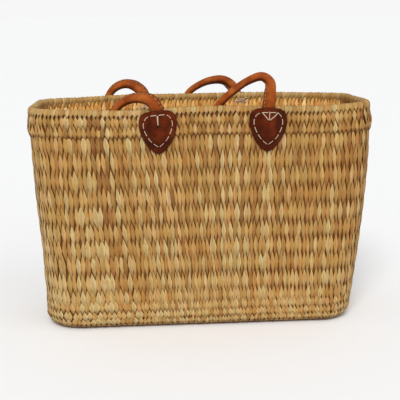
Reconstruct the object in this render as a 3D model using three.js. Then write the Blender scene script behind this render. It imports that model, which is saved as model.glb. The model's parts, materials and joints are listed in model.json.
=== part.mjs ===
// A woven reed market basket with two rolled leather handles, each sewn on with two leather pads.
// Millimetres, +Z up, the front faces -Y, the origin is the centre of the underside.
import * as THREE from 'three';

const { clamp, degToRad, lerp, smoothstep } = THREE.MathUtils;

// Basket
const rimWidth = 480; // outside, across the front, at the rim
const rimDepth = 195; // outside, front to back, at the rim
const height = 318; // underside to the top of the rim
const wallThickness = 5; // wound weft cords with a reed on each side
const leftCornerRadius = 53;
const rightCornerRadius = 44;
const footRadius = 18; // where the wall turns into the base
const ribDepth = 1.2; // how far the wall drops in between two rows of weave

// Rim
const rimRollHeight = 8; // the reeds folded over the top edge
const rimRollWidth = 11;
const rimRollProud = 1.5; // how far the roll stands outside the wall
const collarHeight = 31; // the doubled band below the roll
const collarInset = 2; // how far the wall is drawn in behind the band
const collarProud = 1; // the band's top edge, outside the wall line
const upperRowProud = 2.4;
const ridgeProud = 4; // the band's lower row bulges the most

// Handles and pads
const handleDiameter = 12;
const handleEndWidth = 16; // each end is pressed flat under its pad
const handleEndThickness = 5;
const handleFlatLength = 34;
const padWidth = 51.6;
const padHeight = 61.4;
const padThickness = 2;
const padOverEnd = 31; // how far a pad reaches above the sewn end it covers
const handleEndHeight = 288; // height of the handles' sewn ends
const handleSwing = 100; // the length that the handles' routes are shares of
const frontPads = { left: -61, right: 89.5 };
const backPads = { left: -78, right: 73 };

const clearance = 0.3; // between two pieces that touch

const colours = { reed: 0xc39a5c, rimReed: 0xcaa565, tanLeather: 0xa9541f, darkLeather: 0x5e2416 };

// The wall's outline from the base up: shares of half the rim's width and depth.
const profile = [
  { level: 0.0, left: 0.95, right: 0.911, depth: 0.86 },
  { level: 0.157, left: 0.951, right: 0.938, depth: 0.885 },
  { level: 0.345, left: 0.96, right: 0.964, depth: 0.915 },
  { level: 0.564, left: 0.98, right: 0.991, depth: 0.952 },
  { level: 0.784, left: 0.992, right: 1.004, depth: 0.986 },
  { level: 1.0, left: 1.0, right: 1.0, depth: 1.0 },
];

// The middle height of each row of weave below the band, as a share of the height.
const weaveRows = [
  { level: 0.107 }, { level: 0.149 }, { level: 0.218 }, { level: 0.3 }, { level: 0.377 }, { level: 0.451 },
  { level: 0.531 }, { level: 0.612 }, { level: 0.693 }, { level: 0.772 }, { level: 0.851 },
];

// How the soft rim dips and lifts: across is a share of half the width, front and back of the height.
const rimDips = [
  { across: -1.0, front: 0.0, back: -0.005 },
  { across: -0.8, front: 0.0, back: -0.008 },
  { across: -0.45, front: -0.008, back: 0.003 },
  { across: 0.0, front: 0.0045, back: 0.0035 },
  { across: 0.45, front: -0.001, back: 0.0045 },
  { across: 0.7, front: -0.003, back: 0.0 },
  { across: 0.9, front: 0.007, back: -0.004 },
  { across: 1.0, front: 0.008, back: 0.0 },
];

// A pad's right half, from the middle of its top to its tip: shares of half its width and of its height.
const padOutline = [
  { across: 0.0, down: 0.0 }, { across: 0.36, down: 0.008 }, { across: 0.72, down: 0.052 },
  { across: 0.94, down: 0.155 }, { across: 1.0, down: 0.3 }, { across: 0.93, down: 0.49 },
  { across: 0.77, down: 0.67 }, { across: 0.55, down: 0.83 }, { across: 0.28, down: 0.95 },
  { across: 0.0, down: 1.0 },
];

// Smooth value of a column of a table at a place along its first column.
function lookUp(table, key, column, place) {
  const at = clamp(place, table[0][key], table[table.length - 1][key]);
  let i = 0;
  while (i < table.length - 2 && table[i + 1][key] < at) i += 1;
  const span = table[i + 1][key] - table[i][key];
  const slope = (k) => {
    const a = Math.max(k - 1, 0);
    const b = Math.min(k + 1, table.length - 1);
    return (table[b][column] - table[a][column]) / (table[b][key] - table[a][key]);
  };
  const t = (at - table[i][key]) / span;
  const rise = t * t * (3 - 2 * t);
  const bend = span * t * (1 - t) * ((1 - t) * slope(i) - t * slope(i + 1));
  return table[i][column] * (1 - rise) + table[i + 1][column] * rise + bend;
}

// Half the basket's depth at a height.
function halfDepth(z) {
  return (rimDepth / 2) * lookUp(profile, 'level', 'depth', z / height);
}

// One level loop of the wall: a rectangle with round corners, moved outwards by out.
const cornerSteps = 7;
const longSteps = 10;
const shortSteps = 3;
function wallLoop(z, out) {
  const left = (rimWidth / 2) * lookUp(profile, 'level', 'left', z / height) + out;
  const right = (rimWidth / 2) * lookUp(profile, 'level', 'right', z / height) + out;
  const deep = halfDepth(z) + out;
  const corners = [
    { x: right, y: -deep, start: -90, radius: rightCornerRadius + out, next: shortSteps },
    { x: right, y: deep, start: 0, radius: rightCornerRadius + out, next: longSteps },
    { x: -left, y: deep, start: 90, radius: leftCornerRadius + out, next: shortSteps },
    { x: -left, y: -deep, start: 180, radius: leftCornerRadius + out, next: longSteps },
  ];
  const arcs = corners.map(({ x, y, start, radius }) => {
    const arc = [];
    for (let i = 0; i <= cornerSteps; i += 1) {
      const angle = degToRad(start + (90 * i) / cornerSteps);
      const cx = x - Math.sign(x) * radius;
      const cy = y - Math.sign(y) * radius;
      arc.push(new THREE.Vector3(cx + radius * Math.cos(angle), cy + radius * Math.sin(angle), z));
    }
    return arc;
  });
  const loop = [];
  corners.forEach(({ next }, c) => {
    const from = arcs[c][cornerSteps];
    const to = arcs[(c + 1) % corners.length][0];
    loop.push(...arcs[c]);
    for (let i = 1; i < next; i += 1) loop.push(from.clone().lerp(to, i / next));
  });
  return loop;
}

// The soft rim's dips, for any point of the basket: none at the base, all of them at the rim.
function settle(point) {
  const across = point.x / (rimWidth / 2);
  const front = lookUp(rimDips, 'across', 'front', across);
  const back = lookUp(rimDips, 'across', 'back', across);
  const share = smoothstep(point.y, -rimDepth / 4, rimDepth / 4);
  const rise = Math.min(point.z / height, 1) ** 3;
  point.z += height * rise * lerp(front, back, share);
  return point;
}

// A closed mesh from points and triangles, settled with the rim.
function solid(points, triangles) {
  const geometry = new THREE.BufferGeometry();
  const positions = points.flatMap((p) => settle(p.clone()).toArray());
  geometry.setAttribute('position', new THREE.Float32BufferAttribute(positions, 3));
  geometry.setIndex(triangles.flat());
  geometry.computeVertexNormals();
  return geometry;
}

// Triangles that join loop a to loop b, both of n points and starting at those indices.
function band(a, b, n) {
  const triangles = [];
  for (let i = 0; i < n; i += 1) {
    const j = (i + 1) % n;
    triangles.push([a + i, a + j, b + j], [a + i, b + j, b + i]);
  }
  return triangles;
}

// Triangles that close a loop onto one point.
function fan(centre, loop, n, flip) {
  const triangles = [];
  for (let i = 0; i < n; i += 1) {
    const j = (i + 1) % n;
    triangles.push(flip ? [centre, loop + j, loop + i] : [centre, loop + i, loop + j]);
  }
  return triangles;
}

// A solid through loops in order, with a pole at each end, or closed on itself where there are no poles.
function loft(loops, poles) {
  const n = loops[0].length;
  const points = loops.flat();
  const triangles = [];
  for (let k = 0; k < loops.length - 1; k += 1) triangles.push(...band(k * n, (k + 1) * n, n));
  if (poles) {
    points.push(...poles);
    triangles.push(...fan(loops.length * n, 0, n, true));
    triangles.push(...fan(loops.length * n + 1, (loops.length - 1) * n, n, false));
  } else {
    triangles.push(...band((loops.length - 1) * n, 0, n));
  }
  return solid(points, triangles);
}

// The quarter round at the foot of a wall, from the base's flat up.
function footLoops(radius, floor, inset, steps) {
  const loops = [];
  for (let k = 0; k <= steps; k += 1) {
    const angle = (Math.PI / 2) * (k / steps);
    const out = -inset - radius * (1 - Math.sin(angle));
    loops.push(wallLoop(floor + radius * (1 - Math.cos(angle)), out));
  }
  return loops;
}

// Wall and base in one: ribbed outside, plain inside, open at the top.
function wovenBody() {
  const collarFoot = height - rimRollHeight - collarHeight;
  const top = height - rimRollHeight - clearance;
  const outer = footLoops(footRadius, 0, 0, 4);
  weaveRows.forEach(({ level }, i) => {
    const below = i === 0 ? footRadius / height : weaveRows[i - 1].level;
    outer.push(wallLoop((height * (level + below)) / 2, -ribDepth), wallLoop(height * level, 0));
  });
  const behindBand = -collarInset - clearance;
  outer.push(wallLoop(collarFoot - clearance, behindBand), wallLoop(top, behindBand));
  const innerSteps = [1.0, 0.784, 0.564, 0.345, 0.157];
  const inner = innerSteps.map((share) => wallLoop(Math.min(height * share, top), -wallThickness));
  const innerFoot = footLoops(footRadius - wallThickness, wallThickness, wallThickness, 2).reverse();
  const poles = [new THREE.Vector3(0, 0, 0), new THREE.Vector3(0, 0, wallThickness)];
  return loft([...outer, ...inner, ...innerFoot], poles);
}

// The doubled band round the outside of the wall, with an upper row and a lower, bulging row.
function collarBand() {
  const top = height - rimRollHeight - clearance;
  const section = [
    { down: 0, out: -collarInset },
    { down: 1, out: -collarInset },
    { down: 0.9, out: ridgeProud * 0.55 },
    { down: 0.72, out: ridgeProud },
    { down: 0.55, out: ridgeProud * 0.8 },
    { down: 0.44, out: upperRowProud * 0.7 },
    { down: 0.22, out: upperRowProud },
    { down: 0, out: collarProud },
  ];
  return loft(section.map(({ down, out }) => wallLoop(top - collarHeight * down, out)));
}

// The rolled top edge, which sits on the wall and the band.
function rimRoll() {
  const sides = 8;
  const loops = [];
  for (let k = 0; k < sides; k += 1) {
    const angle = (2 * Math.PI * (k + 0.5)) / sides;
    const middle = rimRollProud - rimRollWidth / 2;
    const reach = 1 / Math.cos(Math.PI / sides);
    const z = height - rimRollHeight / 2 + (rimRollHeight / 2) * reach * Math.sin(angle);
    loops.push(wallLoop(z, middle + (rimRollWidth / 2) * reach * Math.cos(angle)));
  }
  return loft(loops);
}

// A rolled handle: one tube along its route, pressed flat where it is sewn on.
const handleSides = 8;
const handleSteps = 54;
function handle(curveKnots) {
  const curve = new THREE.CatmullRomCurve3(curveKnots, false, 'centripetal');
  const length = curve.getLength();
  const points = [];
  for (let k = 0; k <= handleSteps; k += 1) {
    const share = k / handleSteps;
    const middle = curve.getPointAt(share);
    const along = curve.getTangentAt(share);
    const through = new THREE.Vector3(0, 1, 0).addScaledVector(along, -along.y).normalize();
    const across = new THREE.Vector3().crossVectors(through, along);
    const fromEnd = Math.min(share, 1 - share) * length;
    const round = smoothstep(fromEnd, handleFlatLength * 0.45, handleFlatLength * 1.25);
    const halfWidth = lerp(handleEndWidth, handleDiameter, round) / 2;
    const halfThickness = lerp(handleEndThickness, handleDiameter, round) / 2;
    for (let i = 0; i < handleSides; i += 1) {
      const angle = (2 * Math.PI * (i + 0.5)) / handleSides;
      const point = middle.clone().addScaledVector(across, halfWidth * Math.cos(angle));
      points.push(point.addScaledVector(through, halfThickness * Math.sin(angle)));
    }
  }
  const triangles = [];
  for (let k = 0; k < handleSteps; k += 1) {
    triangles.push(...band(k * handleSides, (k + 1) * handleSides, handleSides));
  }
  points.push(curve.getPointAt(0), curve.getPointAt(1));
  triangles.push(...fan(points.length - 2, 0, handleSides, true));
  triangles.push(...fan(points.length - 1, handleSteps * handleSides, handleSides, false));
  return solid(points, triangles);
}

// How far a sewn handle end's middle, and a handle hanging beside the rim, lie from the basket's middle.
const depths = {
  sewn: rimDepth / 2 + ridgeProud + clearance + handleEndThickness / 2,
  inside: rimDepth / 2 + rimRollProud - rimRollWidth - handleDiameter * 0.625,
  outside: rimDepth / 2 + ridgeProud + handleDiameter * 0.625,
};

// The handles between their sewn ends, from the left pad to the right one: across from the pad that
// is named, out from the depth that is named, up from the rim's top, all as shares of handleSwing.
const frontRoute = [
  { from: 'left', across: -0.03, depth: 'sewn', out: 0.008, up: 0.02 },
  { from: 'left', across: -0.09, depth: 'sewn', out: -0.01, up: 0.12 },
  { from: 'left', across: -0.23, depth: 'sewn', out: -0.1, up: 0.17 },
  { from: 'left', across: -0.4, depth: 'inside', out: 0.06, up: 0.135 },
  { from: 'left', across: -0.54, depth: 'inside', out: 0.0, up: 0.03 },
  { from: 'left', across: -0.62, depth: 'inside', out: 0.0, up: -0.16 },
  { from: 'left', across: -0.64, depth: 'inside', out: 0.0, up: -0.38 },
  { from: 'left', across: -0.56, depth: 'inside', out: 0.0, up: -0.6 },
  { from: 'left', across: -0.36, depth: 'inside', out: 0.0, up: -0.76 },
  { from: 'left', across: -0.08, depth: 'inside', out: 0.0, up: -0.82 },
  { from: 'right', across: -1.28, depth: 'inside', out: 0.0, up: -0.78 },
  { from: 'right', across: -1.05, depth: 'inside', out: 0.0, up: -0.6 },
  { from: 'right', across: -0.89, depth: 'inside', out: 0.0, up: -0.33 },
  { from: 'right', across: -0.77, depth: 'inside', out: 0.0, up: -0.09 },
  { from: 'right', across: -0.61, depth: 'inside', out: 0.02, up: 0.11 },
  { from: 'right', across: -0.45, depth: 'inside', out: 0.05, up: 0.255 },
  { from: 'right', across: -0.28, depth: 'inside', out: 0.09, up: 0.365 },
  { from: 'right', across: -0.11, depth: 'sewn', out: -0.08, up: 0.42 },
  { from: 'right', across: 0.01, depth: 'sewn', out: -0.02, up: 0.36 },
  { from: 'right', across: 0.035, depth: 'sewn', out: 0.01, up: 0.2 },
  { from: 'right', across: 0.02, depth: 'sewn', out: 0.012, up: 0.03 },
];
const backRoute = [
  { from: 'left', across: -0.02, depth: 'sewn', out: 0.012, up: 0.02 },
  { from: 'left', across: -0.1, depth: 'outside', out: 0.0, up: 0.14 },
  { from: 'left', across: -0.26, depth: 'outside', out: 0.03, up: 0.195 },
  { from: 'left', across: -0.43, depth: 'outside', out: 0.06, up: 0.14 },
  { from: 'left', across: -0.54, depth: 'outside', out: 0.07, up: 0.01 },
  { from: 'left', across: -0.59, depth: 'outside', out: 0.06, up: -0.18 },
  { from: 'left', across: -0.6, depth: 'outside', out: 0.03, up: -0.4 },
  { from: 'left', across: -0.51, depth: 'outside', out: 0.0, up: -0.62 },
  { from: 'left', across: -0.31, depth: 'outside', out: -0.02, up: -0.77 },
  { from: 'left', across: -0.03, depth: 'outside', out: -0.03, up: -0.83 },
  { from: 'right', across: -1.28, depth: 'outside', out: -0.02, up: -0.78 },
  { from: 'right', across: -1.06, depth: 'outside', out: 0.0, up: -0.61 },
  { from: 'right', across: -0.93, depth: 'outside', out: 0.03, up: -0.37 },
  { from: 'right', across: -0.86, depth: 'outside', out: 0.06, up: -0.14 },
  { from: 'right', across: -0.77, depth: 'outside', out: 0.07, up: 0.03 },
  { from: 'right', across: -0.61, depth: 'outside', out: 0.06, up: 0.16 },
  { from: 'right', across: -0.42, depth: 'outside', out: 0.04, up: 0.23 },
  { from: 'right', across: -0.22, depth: 'outside', out: 0.02, up: 0.23 },
  { from: 'right', across: -0.07, depth: 'outside', out: 0.0, up: 0.13 },
  { from: 'right', across: -0.01, depth: 'sewn', out: 0.012, up: 0.02 },
];

// The knots of a handle's curve with its sewn ends, on the front (-1) or the back (1).
function knots(route, pads, side) {
  const knot = (x, out, z) => new THREE.Vector3(x, side * out, z);
  const sewnEnd = (x) => [
    knot(x, depths.sewn, handleEndHeight),
    knot(x, depths.sewn + clearance, (handleEndHeight + height) / 2),
  ];
  const between = route.map(({ from, across, depth, out, up }) => (
    knot(pads[from] + across * handleSwing, depths[depth] + out * handleSwing, height + up * handleSwing)
  ));
  return [...sewnEnd(pads.left), ...between, ...sewnEnd(pads.right).reverse()];
}

// A leather pad: a thin heart that lies over the band and bulges over the handle's end.
const padRings = [0.42, 0.76, 1];
const padMiddle = 0.42; // the rings' centre, as a share of the height from the top
// A pad climbs onto the band, measured from the band's foot, then over the handle's sewn end and along
// with the handle, both measured from that end.
const ontoBand = { from: -12, to: 9, lift: ridgeProud + 0.2 };
const ontoEnd = { from: -20, to: -6, lift: handleEndThickness + 1.6 };
const withHandle = { from: 4, lift: 3.9 };
const channel = { from: handleEndWidth * 0.5, to: handleEndWidth * 1.35 };
function pad(x, side) {
  const half = padOutline.map(({ across, down }) => (
    new THREE.Vector2((across * padWidth) / 2, -down * padHeight)
  ));
  const mirrored = half.slice(1, -1).reverse().map((p) => new THREE.Vector2(-p.x, p.y));
  const rim = [...half, ...mirrored];
  const centre = new THREE.Vector2(0, -padMiddle * padHeight);
  const bandFoot = height - rimRollHeight - collarHeight;
  const top = handleEndHeight + padOverEnd;
  const backDepth = (p) => {
    const z = top + p.y;
    const overBand = smoothstep(z - bandFoot, ontoBand.from, ontoBand.to) * ontoBand.lift;
    const overEnd = smoothstep(z - handleEndHeight, ontoEnd.from, ontoEnd.to) * ontoEnd.lift;
    const rising = smoothstep(z - handleEndHeight, withHandle.from, padOverEnd) * withHandle.lift;
    const beside = 1 - smoothstep(Math.abs(p.x), channel.from, channel.to);
    return halfDepth(z) + clearance + overBand + beside * (overEnd + rising);
  };
  const place = (p, extra) => new THREE.Vector3(x + p.x, side * (backDepth(p) + extra), top + p.y);
  const points = [];
  for (const extra of [padThickness, 0]) {
    points.push(place(centre, extra));
    for (const share of padRings) {
      rim.forEach((p) => points.push(place(centre.clone().lerp(p, share), extra)));
    }
  }
  const n = rim.length;
  const layer = 1 + padRings.length * n;
  const lastRing = layer - n;
  const turned = (triangles) => triangles.map(([a, b, c]) => [a, c, b]);
  const face = (first) => {
    const triangles = fan(first, first + 1, n, true);
    for (let ring = first + 1; ring < first + lastRing; ring += n) {
      triangles.push(...band(ring, ring + n, n));
    }
    return triangles;
  };
  const triangles = [...face(0), ...turned(face(layer)), ...band(lastRing, layer + lastRing, n)];
  return solid(points, side < 0 ? triangles : turned(triangles));
}

// A named piece of the basket with its plain colour.
function piece(name, geometry, colour, roughness) {
  const material = new THREE.MeshStandardMaterial({ color: colour, roughness, metalness: 0 });
  const mesh = new THREE.Mesh(geometry, material);
  mesh.name = name;
  return mesh;
}

// The basket as one group of named pieces.
const basket = new THREE.Group();
basket.add(
  piece('woven_body', wovenBody(), colours.reed, 0.7),
  piece('collar_band', collarBand(), colours.reed, 0.7),
  piece('rim_roll', rimRoll(), colours.rimReed, 0.65),
  piece('handle_front', handle(knots(frontRoute, frontPads, -1)), colours.tanLeather, 0.5),
  piece('handle_back', handle(knots(backRoute, backPads, 1)), colours.tanLeather, 0.5),
  piece('pad_front_left', pad(frontPads.left, -1), colours.darkLeather, 0.45),
  piece('pad_front_right', pad(frontPads.right, -1), colours.darkLeather, 0.45),
  piece('pad_back_left', pad(backPads.left, 1), colours.darkLeather, 0.45),
  piece('pad_back_right', pad(backPads.right, 1), colours.darkLeather, 0.45),
);

export default basket;
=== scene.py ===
"""The looks of a woven straw basket bag: reeds, rolled rim, leather handles, leather pads and thread."""

from __future__ import annotations
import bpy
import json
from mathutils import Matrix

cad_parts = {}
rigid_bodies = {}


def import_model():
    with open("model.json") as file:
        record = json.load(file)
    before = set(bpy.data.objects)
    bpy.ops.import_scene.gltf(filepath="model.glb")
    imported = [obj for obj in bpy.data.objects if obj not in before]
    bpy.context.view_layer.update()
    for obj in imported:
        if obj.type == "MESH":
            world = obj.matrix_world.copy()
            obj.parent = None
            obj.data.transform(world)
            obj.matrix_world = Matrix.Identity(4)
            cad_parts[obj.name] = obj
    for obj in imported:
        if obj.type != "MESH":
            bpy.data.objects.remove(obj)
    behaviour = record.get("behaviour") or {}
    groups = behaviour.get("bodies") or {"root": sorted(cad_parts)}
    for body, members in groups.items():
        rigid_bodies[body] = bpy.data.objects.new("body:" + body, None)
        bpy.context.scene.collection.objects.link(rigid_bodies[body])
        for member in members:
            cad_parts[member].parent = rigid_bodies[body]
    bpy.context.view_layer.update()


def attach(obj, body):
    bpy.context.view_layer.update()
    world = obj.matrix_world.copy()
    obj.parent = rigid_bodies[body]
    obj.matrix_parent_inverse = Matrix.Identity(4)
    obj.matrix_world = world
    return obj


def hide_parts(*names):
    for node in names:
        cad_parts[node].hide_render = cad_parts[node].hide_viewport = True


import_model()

import json
import logging
import math
from dataclasses import dataclass, field
from enum import Enum

import bpy
import numpy as np
from mathutils import Matrix, Vector

log = logging.getLogger("basket")
MM = 0.001


def smooth_between(keys: np.ndarray, values: np.ndarray, at: np.ndarray) -> np.ndarray:
    """Read a short table smoothly between its rows.

    Args:
        keys: The table's first column, rising.
        values: The column to read.
        at: The places to read it at.

    Returns:
        The value at each place.
    """
    keys, values = np.asarray(keys, float), np.asarray(values, float)
    at = np.clip(at, keys[0], keys[-1])
    i = np.clip(np.searchsorted(keys, at, side="right") - 1, 0, len(keys) - 2)
    before, after = np.maximum(np.arange(len(keys)) - 1, 0), np.minimum(np.arange(len(keys)) + 1, len(keys) - 1)
    slope = (values[after] - values[before]) / (keys[after] - keys[before])
    span = keys[i + 1] - keys[i]
    t = (at - keys[i]) / span
    rise = t * t * (3 - 2 * t)
    bend = span * t * (1 - t) * ((1 - t) * slope[i] - t * slope[i + 1])
    return values[i] * (1 - rise) + values[i + 1] * rise + bend


def smooth_step(value: np.ndarray, low: float, high: float) -> np.ndarray:
    """Rise smoothly from 0 at low to 1 at high."""
    t = np.clip((np.asarray(value, float) - low) / (high - low), 0, 1)
    return t * t * (3 - 2 * t)


def unit(vectors: np.ndarray) -> np.ndarray:
    """Scale each row to a length of 1."""
    return vectors / np.linalg.norm(vectors, axis=-1, keepdims=True)


def drift(place: np.ndarray, seed: int, waves: int = 5) -> np.ndarray:
    """A slow, closed wave round the basket, about -1 to 1.

    Args:
        place: Places round the basket, from 0 to 1.
        seed: Picks the wave's shape.
        waves: The highest number of waves in one round.

    Returns:
        The wave's height at each place.
    """
    chance = np.random.default_rng(seed)
    total = np.zeros_like(place, dtype=float)
    for count in range(1, waves + 1):
        total += chance.normal() / math.sqrt(count) * np.sin(2 * math.pi * (count * place + chance.random()))
    return total / 2


@dataclass(frozen=True)
class BasketShape:
    """The basket's wall as a smooth surface, with the sizes of the solid under it."""

    rim_width: float = 480 * MM
    rim_depth: float = 195 * MM
    height: float = 318 * MM
    left_corner: float = 53 * MM
    right_corner: float = 44 * MM
    foot_radius: float = 18 * MM
    wall: float = 5 * MM
    levels: tuple[float, ...] = (0.0, 0.157, 0.345, 0.564, 0.784, 1.0)
    left_shares: tuple[float, ...] = (0.95, 0.951, 0.96, 0.98, 0.992, 1.0)
    right_shares: tuple[float, ...] = (0.911, 0.938, 0.964, 0.991, 1.004, 1.0)
    depth_shares: tuple[float, ...] = (0.86, 0.885, 0.915, 0.952, 0.986, 1.0)
    dip_places: tuple[float, ...] = (-1.0, -0.8, -0.45, 0.0, 0.45, 0.7, 0.9, 1.0)
    front_dips: tuple[float, ...] = (0.0, 0.0, -0.008, 0.0045, -0.001, -0.003, 0.007, 0.008)
    back_dips: tuple[float, ...] = (-0.005, -0.008, 0.003, 0.0035, 0.0045, 0.0, -0.004, 0.0)
    collar_foot: float = 279 * MM
    ridge_height: float = 287 * MM
    upper_row_height: float = 304 * MM
    collar_top: float = 310 * MM
    # How far the doubled band stands out of the wall, from its foot up to the rim.
    swells: tuple[float, ...] = tuple(v * MM for v in (0.0, 2.0, 3.2, 1.5, 1.6, 0.2, 0.0))

    @property
    def quarter(self) -> float:
        """Length of the rounding at the foot."""
        return self.foot_radius * math.pi / 2

    @property
    def round_length(self) -> float:
        """Length once round the rim."""
        return float(self.rim_stretches().sum())

    def rim_stretches(self) -> np.ndarray:
        """Measure the rim's nine stretches, straight and round in turn, counterclockwise from the front's middle.

        Returns:
            Their lengths.
        """
        half, deep = self.rim_width / 2, self.rim_depth / 2
        right, left = self.right_corner, self.left_corner
        arc = math.pi / 2
        return np.array([
            half - right, right * arc, 2 * (deep - right), right * arc, 2 * half - right - left,
            left * arc, 2 * (deep - left), left * arc, half - left,
        ])

    def around_at(self, across: float, back: bool = False) -> float:
        """The place round the rim of a point on the front or the back.

        Args:
            across: The point's distance to the right of the middle, in metres.
            back: True on the back.

        Returns:
            A share of the rim's length.
        """
        if not back:
            return (across / self.round_length) % 1.0
        start = self.rim_stretches()[:4].sum()
        return float(start + self.rim_width / 2 - self.right_corner - across) / self.round_length

    def climb_at(self, z: float) -> float:
        """Length up the wall from where the base ends, for a height.

        Args:
            z: The height.

        Returns:
            The length.
        """
        if z >= self.foot_radius:
            return self.quarter + z - self.foot_radius
        return self.foot_radius * math.acos(1 - z / self.foot_radius)

    def half_depth(self, z: np.ndarray) -> np.ndarray:
        """Half the basket's depth at a height."""
        return self.rim_depth / 2 * smooth_between(self.levels, self.depth_shares, z / self.height)

    def swell(self, z: np.ndarray) -> np.ndarray:
        """How far the doubled band stands out of the wall.

        Args:
            z: Heights.

        Returns:
            The distances outwards.
        """
        foot, ridge, upper = self.collar_foot, self.ridge_height, self.upper_row_height
        keys = (foot - 1.5 * MM, foot + 2 * MM, ridge, 0.5 * (ridge + upper), upper, self.collar_top, self.height)
        return np.where(z < keys[0], 0.0, np.interp(z, keys, self.swells))

    def loop(self, around: np.ndarray, z: np.ndarray, reach: np.ndarray) -> np.ndarray:
        """Points of the level loops, moved outwards by reach.

        Args:
            around: Places round the rim, from 0 to 1.
            z: Heights.
            reach: Distances outwards, in the level plane.

        Returns:
            The points, with their heights.
        """
        level = np.clip(z / self.height, 0, 1)
        left = self.rim_width / 2 * smooth_between(self.levels, self.left_shares, level) + reach
        right = self.rim_width / 2 * smooth_between(self.levels, self.right_shares, level) + reach
        deep = self.half_depth(z) + reach
        smallest = 2 * MM
        left_round = np.maximum(self.left_corner + reach, smallest)
        right_round = np.maximum(self.right_corner + reach, smallest)
        ends = np.cumsum(self.rim_stretches())
        length = (np.asarray(around) % 1.0) * ends[-1]
        stretch = np.clip(np.searchsorted(ends, length, side="right"), 0, 8)
        t = (length - np.r_[0, ends][stretch]) / self.rim_stretches()[stretch]
        x, y = np.zeros_like(t), np.zeros_like(t)
        corners = {
            1: (right - right_round, -(deep - right_round), right_round, -90),
            3: (right - right_round, deep - right_round, right_round, 0),
            5: (-(left - left_round), deep - left_round, left_round, 90),
            7: (-(left - left_round), -(deep - left_round), left_round, 180),
        }
        for number, (cx, cy, radius, start) in corners.items():
            turn = np.radians(start + 90 * t)
            here = stretch == number
            x = np.where(here, cx + radius * np.cos(turn), x)
            y = np.where(here, cy + radius * np.sin(turn), y)
        zero = np.zeros_like(deep)
        lines = {
            0: (zero, -deep, right - right_round, -deep),
            2: (right, -(deep - right_round), right, deep - right_round),
            4: (right - right_round, deep, -(left - left_round), deep),
            6: (-left, deep - left_round, -left, -(deep - left_round)),
            8: (-(left - left_round), -deep, zero, -deep),
        }
        for number, (x0, y0, x1, y1) in lines.items():
            here = stretch == number
            x = np.where(here, x0 + (x1 - x0) * t, x)
            y = np.where(here, y0 + (y1 - y0) * t, y)
        return np.stack([x, y, z], axis=-1)

    def settle(self, points: np.ndarray) -> np.ndarray:
        """Let the soft rim dip and lift: nothing at the base, all of it at the rim.

        Args:
            points: Points of the unsettled basket.

        Returns:
            The points where they settle.
        """
        across = points[..., 0] / (self.rim_width / 2)
        front = smooth_between(self.dip_places, self.front_dips, across)
        back = smooth_between(self.dip_places, self.back_dips, across)
        share = smooth_step(points[..., 1], -self.rim_depth / 4, self.rim_depth / 4)
        rise = np.clip(points[..., 2] / self.height, 0, 1) ** 3
        moved = points.copy()
        moved[..., 2] += self.height * rise * (front * (1 - share) + back * share)
        return moved

    def place(self, around: np.ndarray, climb: np.ndarray, out: np.ndarray) -> np.ndarray:
        """Points of the surface that runs from the middle of the base up to the rim.

        Args:
            around: Places round the rim, from 0 to 1.
            climb: Lengths up the wall from where the base ends; negative on the base.
            out: Distances outwards from the surface.

        Returns:
            The points, settled with the rim.
        """
        around, climb, out = np.broadcast_arrays(
            np.asarray(around, float), np.asarray(climb, float), np.asarray(out, float)
        )
        turn = np.clip(climb / self.foot_radius, 0, math.pi / 2)
        rise = np.maximum(climb - self.quarter, 0)
        z = self.foot_radius * (1 - np.cos(turn)) + rise
        out = out + self.swell(z) * (out > -self.wall / 2 - MM)
        inset = self.foot_radius * (1 - np.sin(turn)) + np.maximum(-climb, 0)
        points = self.loop(around, np.maximum(z - out * np.cos(turn), -0.02), out * np.sin(turn) - inset)
        return self.settle(points)

    def axes(self, around: np.ndarray, climb: np.ndarray, out: float) -> tuple:
        """Where a reed sits and which way it faces.

        Args:
            around: Places round the rim.
            climb: Lengths up the wall.
            out: Distance outwards.

        Returns:
            The points, and the unit vectors along the row, up the wall and out of it.
        """
        step = 0.4 * MM
        share = step / self.round_length
        face = 0.0 if out > -self.wall / 2 else -self.wall
        here = self.place(around, climb, out)
        along = unit(self.place(around + share, climb, out) - self.place(around - share, climb, out))
        up = self.place(around, climb + step, face) - self.place(around, climb - step, face)
        up = unit(up - (up * along).sum(-1, keepdims=True) * along)
        return here, along, up, np.cross(along, up)

    def spread(self, climb: float, out: float, count: int) -> np.ndarray:
        """Places round one ring that lie the same length apart.

        Args:
            climb: The ring's length up the wall; negative on the base.
            out: The ring's distance outwards.
            count: How many places.

        Returns:
            The places, from 0 to 1.
        """
        places = np.linspace(0, 1, 1201)
        points = self.place(places, climb, out)
        length = np.r_[0, np.cumsum(np.linalg.norm(np.diff(points, axis=0), axis=1))]
        return np.interp((np.arange(count) + 0.5) / count * length[-1], length, places)


SHAPE = BasketShape()


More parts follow.
